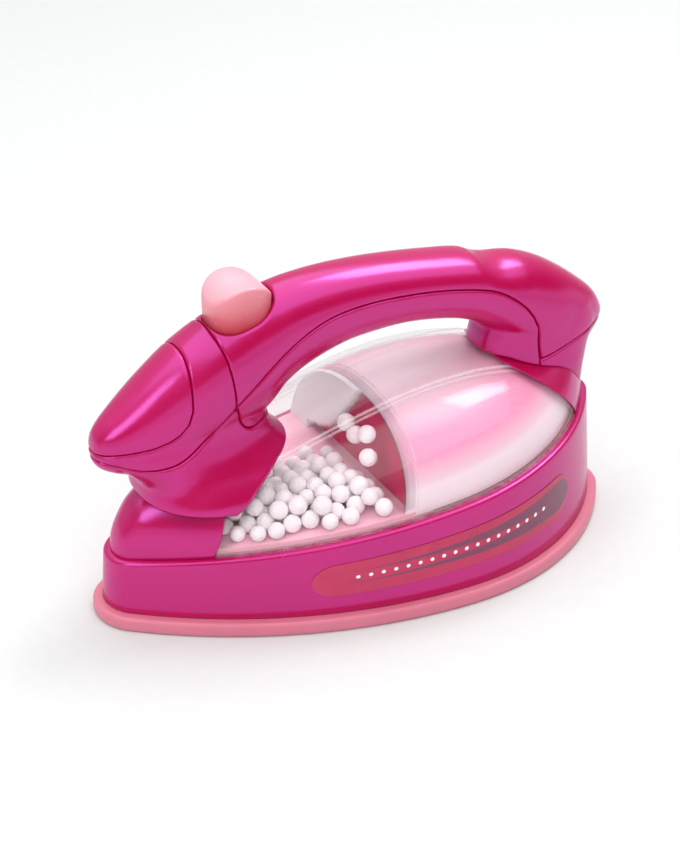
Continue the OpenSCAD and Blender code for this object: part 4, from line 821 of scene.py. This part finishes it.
SEAM = [(-84, 54), (-80, 53), (-74, 51.6), (-68, 51.5), (-61.7, 52.9), (-55.4, 56.6), (-49, 61.4),
        (-44, 66.4), (-36.4, 72.6), (-30, 77.7), (-23.7, 81.9), (-17.3, 85), (-11, 86.8), (-1.3, 87.8),
        (8.4, 87.7), (18.3, 87), (28.3, 85.6), (38.6, 83.2), (43.8, 80.8), (49.2, 76.6), (52.8, 72.4),
        (55, 68)]
# Other joints in side view: under the tail, round the nose, the collar, the front post's tongue and the back
TAIL = [(56.6, 56.8), (60, 57.4), (65, 58.9), (70, 60.3), (75, 61.2), (84.4, 62)]
NOSE = [(-56.8, 110), (-57.2, 82), (-57.6, 73), (-57.9, 68), (-59.2, 64), (-61.6, 61.2), (-65, 59.3),
        (-69.5, 58), (-75, 57.2), (-84, 56), (-110, 55)]
COLLAR = [(-50.6, 110), (-48.4, 87), (-46.6, 81.3), (-45.5, 75.3), (-44.7, 69.7), (-44.4, 66.2)]
TONGUE = [(-43.9, 64.6), (-42.7, 60.4), (-40.9, 57.8), (-38.4, 56.9), (-35, 57.4), (-28.5, 58.6)]
BACK = [(55.2, 68), (56.2, 56), (56.2, 20)]
LIP = [(-15, 41), (-48, 35.5), (-86, 40.4)]
# Levels of each post: height, front, rear and half-width
FRONT_POST = [(34, -71.2, -19.2, 21), (38, -71.2, -19.4, 21), (40.5, -71, -19.8, 20),
              (43.5, -70.8, -20.2, 18.2), (46, -72.8, -20.8, 16.4), (48.5, -76, -22.6, 15),
              (51, -79.2, -25.6, 13.9), (53.5, -81, -28.4, 13.2), (57, -79.5, -30.2, 12.4),
              (64, -73, -31.5, 11.2), (70, -64, -34, 9)]
REAR_POST = [(42, 37.5, 76.2, 14.4), (49, 38, 77.2, 13.8), (53, 38.4, 78, 13.3), (57, 38.8, 79, 12.8),
             (61, 39.6, 80.6, 12.5), (65, 40.6, 81, 12.3), (70, 42.5, 79, 11.6)]


def grip_rings(n):
    """Rings of the grip from nose to tail, closer together at its ends."""
    first, last, close = TOP[0][0], TOP[-1][0], np.array(END_STEPS)
    x = np.unique(np.concatenate([np.linspace(first, last, n), first + close, last - close]))[:, None]
    a = np.linspace(0, 2 * math.pi, RING_COLS, endpoint=False)[None]
    top, under = curve(TOP, x), curve(UNDER, x)
    y = -curve(HALF, x) * signed_power(np.cos(a), GRIP_POWER)
    z = (top + under) / 2 + (top - under) / 2 * signed_power(np.sin(a), GRIP_POWER)
    return np.stack([np.broadcast_to(x, y.shape), y, z], -1)


def post_rings(levels, n):
    """Level rings of a post, each an oval between a front and a rear point."""
    k = np.array(levels, float)
    z = np.linspace(k[0, 0], k[-1, 0], n)[:, None]
    front, rear, half = (curve(k[:, (0, i)], z) for i in (1, 2, 3))
    a = -np.linspace(0, 2 * math.pi, RING_COLS, endpoint=False)[None]
    x = (front + rear) / 2 + (rear - front) / 2 * signed_power(np.cos(a), POST_POWER)
    return np.stack([x, half * signed_power(np.sin(a), POST_POWER), np.broadcast_to(z, x.shape)], -1)


def capped(rings):
    """Points and faces of a solid through closed rings."""
    rows, cols = rings.shape[:2]
    faces = ring_faces(rows, cols)
    faces += [list(range(cols - 1, -1, -1)), list(range((rows - 1) * cols, rows * cols))]
    return rings.reshape(-1, 3), faces


VOXEL, BLEND_STEPS = 0.55, 14


def blended(*solids):
    """One smooth skin round several solids, as triangles: voxel remesh, then relaxed at the junctions."""
    points, faces = [], []
    for p, f in solids:
        start = sum(len(q) for q in points)
        points.append(p)
        faces += [[i + start for i in face] for face in f]
    mesh = bpy.data.meshes.new("blend")
    mesh.from_pydata((np.vstack(points) * MM).tolist(), [], faces)
    obj = bpy.data.objects.new("blend", mesh)
    bpy.context.scene.collection.objects.link(obj)
    remesh = obj.modifiers.new("remesh", "REMESH")
    remesh.mode, remesh.voxel_size = "VOXEL", VOXEL * MM
    relax = obj.modifiers.new("relax", "SMOOTH")
    relax.factor, relax.iterations = 0.5, BLEND_STEPS
    obj.modifiers.new("triangles", "TRIANGULATE")
    bpy.context.view_layer.update()
    done = obj.evaluated_get(bpy.context.evaluated_depsgraph_get()).to_mesh()
    p = np.zeros(len(done.vertices) * 3)
    n = np.zeros(len(done.vertices) * 3)
    t = np.zeros(len(done.polygons) * 3, int)
    done.vertices.foreach_get("co", p)
    done.vertices.foreach_get("normal", n)
    done.polygons.foreach_get("vertices", t)
    bpy.data.objects.remove(obj)
    return p.reshape(-1, 3) / MM, n.reshape(-1, 3), t.reshape(-1, 3)


def split(data, value, tris):
    """Cuts triangles along value = 0, with one row of data per point. Returns data, value and tris."""
    low = value[tris] < 0
    crossed = tris[(low.any(1)) & (~low.all(1))]
    whole = tris[low.all(1) | (~low).all(1)]
    if not len(crossed):
        return data, value, tris
    edges = np.sort(np.vstack([crossed[:, [0, 1]], crossed[:, [1, 2]], crossed[:, [2, 0]]]), axis=1)
    edges = np.unique(edges, axis=0)
    edges = edges[(value[edges[:, 0]] < 0) != (value[edges[:, 1]] < 0)]
    a, b = edges.T
    t = value[a] / (value[a] - value[b])
    fresh = data[a] + (data[b] - data[a]) * t[:, None]
    lookup = {(int(i), int(j)): len(data) + k for k, (i, j) in enumerate(edges)}
    made = []
    for tri in crossed:
        sign = value[tri] < 0
        lone = int(np.argmax(sign)) if sign.sum() == 1 else int(np.argmin(sign))
        p, q, r = (int(tri[(lone + k) % 3]) for k in range(3))
        pq, pr = lookup[min(p, q), max(p, q)], lookup[min(p, r), max(p, r)]
        made += [(p, pq, pr), (pq, q, r), (pq, r, pr)]
    return (np.vstack([data, fresh]), np.concatenate([value, np.zeros(len(fresh))]),
            np.vstack([whole, np.array(made, int)]))


def polygon_distance(points, corners):
    """Signed distance of side-view points from a closed outline, negative inside."""
    c = np.asarray(corners, float)
    nearest = np.full(len(points), np.inf)
    inside = np.zeros(len(points), bool)
    for a, b in zip(c, np.roll(c, -1, 0)):
        along = b - a
        rel = points - a
        t = np.clip(rel @ along / max(along @ along, 1e-9), 0, 1)
        nearest = np.minimum(nearest, ((rel - t[:, None] * along) ** 2).sum(1))
        crosses = (a[1] > points[:, 1]) != (b[1] > points[:, 1])
        with np.errstate(divide="ignore", invalid="ignore"):
            inside ^= crosses & (points[:, 0] < a[0] + (points[:, 1] - a[1]) * along[0] / along[1])
    return np.sqrt(nearest) * np.where(inside, -1, 1)


def dome_height(x, y):
    """Height of the dome over a place in plan; far below it outside the dome."""
    w = plan_half(x, drawn_in(rim(x)) - LEDGE)
    part = np.clip(np.abs(y) / np.maximum(w, 0.3), 0, 1)
    h = np.where((x > DOME_TOE) & (x < DOME_HEEL), curve(CROWN, x), -30)
    return np.where(part < 1, rim(x) + h * (1 - part ** DOME_POWER) ** (1 / DOME_POWER), -30)


def dense(keys):
    """A curve's keys filled in so that its line is smooth."""
    k = np.asarray(keys, float)
    x = np.linspace(k[0, 0], k[-1, 0], 4 * len(k))
    return np.stack([x, curve(k, x)], -1).tolist()


GROOVE_HALF, EDGE_R, TUCK, LEDGE_OUT, LEDGE_DROP, SEAT_GAP = 0.06, 0.9, 0.4, 0.25, 0.05, 0.12
EDGE_LEVELS, KEEP_NEAR, PROBE = (0.0, 0.15, 0.4, EDGE_R), 3.0, 0.05
BUTTON_X, BUTTON_LEN, BUTTON_WID, BUTTON_POWER = -38.0, 19.0, 17.0, 2.6
WELL_GAP, OPENING_LOW, FAR_OFF = 0.4, 78.0, 9.0


def button_distance(p):
    """How far a place in plan lies outside the button's opening."""
    a, b = BUTTON_LEN / 2 + WELL_GAP, BUTTON_WID / 2 + WELL_GAP
    r = np.abs((p[:, 0] - BUTTON_X) / a) ** BUTTON_POWER + np.abs(p[:, 1] / b) ** BUTTON_POWER
    return np.where(p[:, 2] > OPENING_LOW, (r ** (1 / BUTTON_POWER) - 1) * b, FAR_OFF)


def moulding(name, skin, corners, node):
    """One moulding cut from the handle's skin by its side-view outline, with rounded, tucked-in edges."""
    p, n, tris = skin

    def outside(q):
        flat = polygon_distance(q[:, [0, 2]], corners)
        seat = dome_height(q[:, 0], q[:, 1]) + SEAT_GAP - q[:, 2]
        return np.maximum(np.maximum(flat, seat), -button_distance(q)) + GROOVE_HALF

    value = outside(p)
    near = (value[tris] < KEEP_NEAR).any(1)
    tris = tris[near]
    data = np.hstack([p, n])
    for level in EDGE_LEVELS:
        data, cut, tris = split(data, outside(data[:, :3]) + level, tris)
        if level == 0.0:
            tris = tris[(cut[tris] <= 1e-9).all(1)]
    used, flat = np.unique(tris, return_inverse=True)
    data, tris = data[used], flat.reshape(-1, 3)
    p, n = data[:, :3].copy(), data[:, 3:]
    n = n / np.maximum(np.linalg.norm(n, axis=1), 1e-9)[:, None]
    depth = np.clip(-outside(p), 0, EDGE_R)
    sink = EDGE_R - np.sqrt(np.maximum(EDGE_R ** 2 - (EDGE_R - depth) ** 2, 0))
    p -= n * sink[:, None]
    # The open edge is tucked in to a wall, and a ledge below it closes the groove under the neighbour
    edges = np.vstack([tris[:, [0, 1]], tris[:, [1, 2]], tris[:, [2, 0]]])
    order = {(int(a), int(b)) for a, b in edges}
    rim_edges = [(a, b) for a, b in order if (b, a) not in order]
    rim_points = sorted({a for e in rim_edges for a in e})
    below = {a: len(p) + k for k, a in enumerate(rim_points)}
    under = {a: len(p) + len(rim_points) + k for k, a in enumerate(rim_points)}
    lip, lip_n = p[rim_points], n[rim_points]
    aside = np.stack([outside(lip + step) - outside(lip - step) for step in PROBE * np.eye(3)], -1)
    aside -= lip_n * (aside * lip_n).sum(1)[:, None]
    aside /= np.maximum(np.linalg.norm(aside, axis=1), 1e-6)[:, None]
    wall = lip - lip_n * TUCK
    p = np.vstack([p, wall, wall + aside * LEDGE_OUT - lip_n * LEDGE_DROP])
    faces = tris.tolist() + [[b, a, below[a], below[b]] for a, b in rim_edges]
    faces += [[below[b], below[a], under[a], under[b]] for a, b in rim_edges]
    return mesh_piece(name, p, faces, magenta, nodes=[node], slot="magenta_gloss")


skin = blended(capped(grip_rings(220)), capped(post_rings(FRONT_POST, 60)), capped(post_rings(REAR_POST, 50)))
seam, tail, tongue = dense(SEAM), dense(TAIL), dense(TONGUE)
# The collar's foot parts the seam in two; the outlines are closed by corners well outside the handle
seam_front = [k for k in seam if k[0] < -44.4]
seam_grip = [k for k in seam if k[0] > -44.3]
FRONT_CORNER, TOP_CORNER, TAIL_CORNER = [(-110, 54)], [(-110, 110)], [(110, 62)]
OUTLINES = {
    "nose_cap": NOSE + TOP_CORNER,
    "nose_collar": NOSE[::-1][1:] + COLLAR + seam_front[::-1] + FRONT_CORNER,
    "front_post": FRONT_CORNER + seam_front + tongue + [(-15, 58.6)] + LIP + [(-110, 41)],
    "grip_upper": COLLAR[-1:] + seam_grip + tail + TAIL_CORNER + [(110, 115), (-50.6, 115)] + COLLAR[:-1],
    "grip_lower": COLLAR[-1:] + tongue + [(0, 50), (30, 50), (30, 20)] + BACK[::-1] + seam_grip[::-1],
    "rear_post": tail + TAIL_CORNER + [(110, 20)] + BACK[::-1][:2],
}
for node, corners in OUTLINES.items():
    moulding(node + "_skin", skin, corners, node)

# Push button: glossy coral plastic, arched from front to back, with a softly rounded top edge. It
# slides straight down in the handle's opening on the spring below it.

BUTTON_LOW, BUTTON_TOP, BUTTON_RISE, BUTTON_EDGE, BUTTON_COLS, EDGE_ROWS = 84.0, 99.5, 5.6, 0.9, 120, 9
ARCH_R = ((BUTTON_LEN / 2) ** 2 + BUTTON_RISE ** 2) / (2 * BUTTON_RISE)


def button_ring(inset, sink):
    """Ring of the button drawn in by inset and lying sink under its arched top."""
    a = np.linspace(0, 2 * math.pi, BUTTON_COLS, endpoint=False)
    x = (BUTTON_LEN / 2 - inset) * signed_power(np.cos(a), BUTTON_POWER)
    y = (BUTTON_WID / 2 - inset) * signed_power(np.sin(a), BUTTON_POWER)
    z = BUTTON_TOP - ARCH_R + np.sqrt(ARCH_R ** 2 - x ** 2) - sink
    return np.column_stack([x + BUTTON_X, y, z])


WELL_T, WELL_FOOT, WELL_SUNK, WELL_BEVEL = 0.5, 80.0, 1.1, 1.2


def well_ring(gap, height):
    """Ring around the button at a gap from it."""
    a = np.linspace(0, 2 * math.pi, BUTTON_COLS, endpoint=False)
    x = BUTTON_X + (BUTTON_LEN / 2 + gap) * signed_power(np.cos(a), BUTTON_POWER)
    y = (BUTTON_WID / 2 + gap) * signed_power(np.sin(a), BUTTON_POWER)
    return np.column_stack([x, y, np.broadcast_to(height, a.shape)])


# The opening's wall, seen when the button is down, starts under the handle's rounded edge
roof = skin[0][skin[0][:, 2] > WELL_FOOT]
mouth = well_ring(WELL_GAP, 0.0)
nearest = ((mouth[:, None, :2] - roof[None, :, :2]) ** 2).sum(-1).argmin(1)
well_top = roof[nearest, 2] - WELL_SUNK
back_gap = WELL_GAP + WELL_T
well = np.array([well_ring(WELL_GAP, well_top), well_ring(WELL_GAP, WELL_FOOT),
                 well_ring(back_gap, WELL_FOOT), well_ring(back_gap, well_top - WELL_BEVEL)])
mesh_piece("button_well", well.reshape(-1, 3), ring_faces(len(well), BUTTON_COLS, wrap=True), magenta,
           nodes=["grip_upper"], slot="magenta_gloss", smooth=False)

# Glossy ABS: warm coral on its sides, with a painted highlight that makes its crown paler
coral = moulded("coral_abs_gloss", "#D63A47", "#CE3541", 0.26, bump=0.015, coat=0.1, crown="#EDAFBC")
button_foot = button_ring(0, BUTTON_EDGE)
button_foot[:, 2] = BUTTON_LOW
button_rings = [button_foot]
button_rings += [button_ring(BUTTON_EDGE * (1 - math.cos(a)), BUTTON_EDGE * (1 - math.sin(a)))
                 for a in np.linspace(0, math.pi / 2, EDGE_ROWS)]
button_rings += [button_ring(d, 0) for d in np.linspace(BUTTON_EDGE, BUTTON_WID / 2 - 0.3, 12)[1:]]
button = mesh_piece("button_cap", *capped(np.array(button_rings)), coral, body="button",
                    nodes=["push_button"], slot="coral_button")
# The crown attribute paints the highlight: none at the foot, rising over the rounded edge to full on the top
pale = button.data.attributes.new("crown", "FLOAT", "POINT")
PAINTED_HIGHLIGHT_AT = [0.0, 0.55, 0.85, 1.0]
ring_at = [0, 1, EDGE_ROWS, len(button_rings) - 1]
painted_highlight_share = np.interp(np.arange(len(button_rings)), ring_at, PAINTED_HIGHLIGHT_AT)
pale.data.foreach_set("value", np.repeat(painted_highlight_share, BUTTON_COLS).astype(np.float32))

# Works inside and fixings: plated screws, motor, brass contacts, cells, board, switch and wires, bought in
# and fixed inside the mouldings. The CAD solids are the right shape, so they only take their finishes.

STREAKS = (1 / (2.5 * MM), 1 / (2.5 * MM), 1 / (0.3846 * MM))


def metal(name, light, dark, rough):
    """Plated metal: drawn streaks and uneven gloss."""
    material, tree, place = bare_material(name)
    drawn = add(tree, "ShaderNodeMapping", Vector=place, Scale=STREAKS)
    streaks = add(tree, "ShaderNodeTexNoise", Vector=drawn, Scale=1.0, Detail=3.0)
    shade = add(tree, "ShaderNodeMapRange", streaks, 0.35, 0.65)
    colour = add(tree, "ShaderNodeMix", shade, linear(dark), linear(light), data_type="RGBA")
    gloss = add(tree, "ShaderNodeMapRange", streaks, 0.3, 0.7, rough - 0.05, rough + 0.1)
    shader = add(tree, "ShaderNodeBsdfPrincipled", Base_Color=colour, Roughness=gloss, Metallic=1.0)
    add(tree, "ShaderNodeOutputMaterial", Surface=shader)
    return material


# Zinc plate is a cool, streaky grey; brass a warm, brighter yellow; plain styrene a dull white. The sleeve,
# board, switch and wire take plain moulded or coated finishes in their usual colours
steel = metal("zinc_plated_steel", "#C9CBCF", "#A9ABB0", 0.3)
brass = metal("bright_brass", "#D9BE7C", "#BFA05A", 0.25)
white = moulded("white_styrene_plain", "#ECECEE", "#E2E2E6", 0.45)
FINISHES = {
    salmon: ["battery_door"],
    steel: ["door_screw", "base_screws", "cap_screws", "post_screws", "grip_screws", "motor", "motor_shaft"],
    brass: ["contact_springs", "contact_plates"],
    white: ["button_guide", "motor_cradle", "stem_clip", "blower_wheel"],
    moulded("blue_grey_cell_sleeve", "#48596C", "#3C4C5E", 0.3): ["battery_cells"],
    moulded("phenolic_board", "#B99A63", "#A98A55", 0.6, bump=0.2): ["switch_board"],
    moulded("black_nylon_switch", "#2C2C2E", "#232325", 0.45): ["push_switch"],
    moulded("red_vinyl_wire", "#B8232B", "#A51C25", 0.4): ["wire_loom"],
}
for finish, names in FINISHES.items():
    for name in names:
        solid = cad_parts[name].data
        solid.materials.clear()
        solid.materials.append(finish)

# Return spring: plated steel wire, wound in five turns around the button's stem. It stands on the guide
# and is pressed to three fifths of its length when the button is down.

SPRING_R, SPRING_WIRE, SPRING_TURNS, SPRING_LEN, PRESS = 4.7, 0.35, 5, 7.5, 3.0
end_room = 1.3 * SPRING_WIRE
spring_seat = BUTTON_LOW - SPRING_LEN
turn = np.linspace(0, 2 * math.pi * SPRING_TURNS, 36 * SPRING_TURNS + 1)
around = np.linspace(0, 2 * math.pi, 12, endpoint=False)
reach = SPRING_R + SPRING_WIRE * np.cos(around)[None]
lift = np.linspace(spring_seat + end_room, BUTTON_LOW - end_room, len(turn))
wire_rings = np.stack([BUTTON_X + reach * np.cos(turn)[:, None], reach * np.sin(turn)[:, None],
                       lift[:, None] + SPRING_WIRE * np.sin(around)[None]], -1)
spring = mesh_piece("return_spring", *capped(wire_rings), steel, nodes=["button_spring"], slot="screw_steel",
                    flip=True)
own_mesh(spring)

# Stage: a pale paper floor, a broad soft light overhead, a small key behind to the right, a weak one
# from the left and a fill from the front, and the camera where the photograph was taken.

FLOOR_HALF, PAPER_MOTTLE = 3.0, 4.545 * MM


def floor_paper():
    """Pale paper, lightly mottled."""
    material, tree, place = bare_material("pale_paper")
    mottle = add(tree, "ShaderNodeTexNoise", Vector=place, Scale=1 / PAPER_MOTTLE, Detail=3.0)
    shade = add(tree, "ShaderNodeMapRange", mottle, 0.3, 0.7)
    colour = add(tree, "ShaderNodeMix", shade, linear("#D6D8D7"), linear("#D4D6D5"), data_type="RGBA")
    shader = add(tree, "ShaderNodeBsdfPrincipled", Base_Color=colour, Roughness=0.9, Specular_IOR_Level=0.1)
    add(tree, "ShaderNodeOutputMaterial", Surface=shader)
    return material


floor_mesh = bpy.data.meshes.new("floor")
floor_corners = [(x * FLOOR_HALF, y * FLOOR_HALF, 0) for x, y in ((-1, -1), (1, -1), (1, 1), (-1, 1))]
floor_mesh.from_pydata(floor_corners, [], [(0, 1, 2, 3)])
# Uncoated paper: dull, even and pale, so that only the soft shadow shows
floor_mesh.materials.append(floor_paper())
floor = bpy.data.objects.new("floor", floor_mesh)
bpy.context.scene.collection.objects.link(floor)


def aimed(obj, place, target):
    """Puts an object in the scene, looking at a point."""
    bpy.context.scene.collection.objects.link(obj)
    obj.location = place
    obj.rotation_euler = (Vector(target) - Vector(place)).to_track_quat("-Z", "Y").to_euler()
    return obj


def soft_light(name, place, target, size, power, colour):
    """A rectangular area light, aimed at a point."""
    lamp = bpy.data.lights.new(name, "AREA")
    lamp.shape, lamp.size, lamp.size_y = "RECTANGLE", size[0], size[1]
    lamp.energy, lamp.color = power, colour
    return aimed(bpy.data.objects.new(name, lamp), place, target)


soft_light("ceiling", (0.05, 0.02, 0.95), (0, 0, 0.04), (1.8, 1.5), 8.5, (0.97, 0.97, 1.0))
soft_light("key", (0.5, 0.2, 0.85), (0, 0, 0.05), (0.4, 0.4), 3.2, (1.0, 0.99, 0.98))
soft_light("left", (-0.75, -0.25, 0.55), (0, 0, 0.05), (0.3, 0.5), 1.7, (1.0, 0.99, 0.98))
fill = soft_light("fill", (-0.35, -0.8, 0.55), (0, 0, 0.04), (0.8, 0.8), 3.2, (1.0, 1.0, 1.0))
fill.visible_glossy = False

world = bpy.data.worlds.new("studio")
world.use_nodes = True
sky = world.node_tree
sky.nodes.clear()
seen = add(sky, "ShaderNodeLightPath").outputs["Is Camera Ray"]
aim = add(sky, "ShaderNodeSeparateXYZ", add(sky, "ShaderNodeTexCoord").outputs["Generated"])
# Bright above and behind the object, dim towards the camera's side except low over the pale floor
above = add(sky, "ShaderNodeMapRange", aim.outputs["Z"], 0.45, 0.9, 0.08, 0.8)
behind = add(sky, "ShaderNodeMapRange", aim.outputs["Y"], -0.3, 0.6, 0.0, 0.5)
lit = add(sky, "ShaderNodeMath", above, behind, operation="ADD", use_clamp=True)
low = add(sky, "ShaderNodeMapRange", aim.outputs["Z"], 0.12, 0.18, 0.9, 0.0)
in_front = add(sky, "ShaderNodeMapRange", aim.outputs["Y"], -0.1, 0.2, 1.0, 0.0)
near_low = add(sky, "ShaderNodeMath", low, in_front, operation="MULTIPLY")
around = add(sky, "ShaderNodeMath", lit, near_low, operation="MAXIMUM")
# The camera sees plain white beyond the floor
white_view = add(sky, "ShaderNodeMapRange", seen, 0.0, 1.0, 0.0, 0.955)
strength = add(sky, "ShaderNodeMath", around, white_view, operation="MAXIMUM")
glow = add(sky, "ShaderNodeBackground", Color=linear("#FFFFFF"), Strength=strength)
add(sky, "ShaderNodeOutputWorld", Surface=glow)
bpy.context.scene.world = world

camera = bpy.data.cameras.new("camera")
camera.lens = 93.2
aimed(bpy.data.objects.new("camera", camera), (-0.2683, -0.5054, 0.3661), (0.0043, 0.0183, 0.0321))
bpy.context.scene.camera = bpy.data.objects["camera"]
bpy.context.scene.view_settings.view_transform = "Standard"
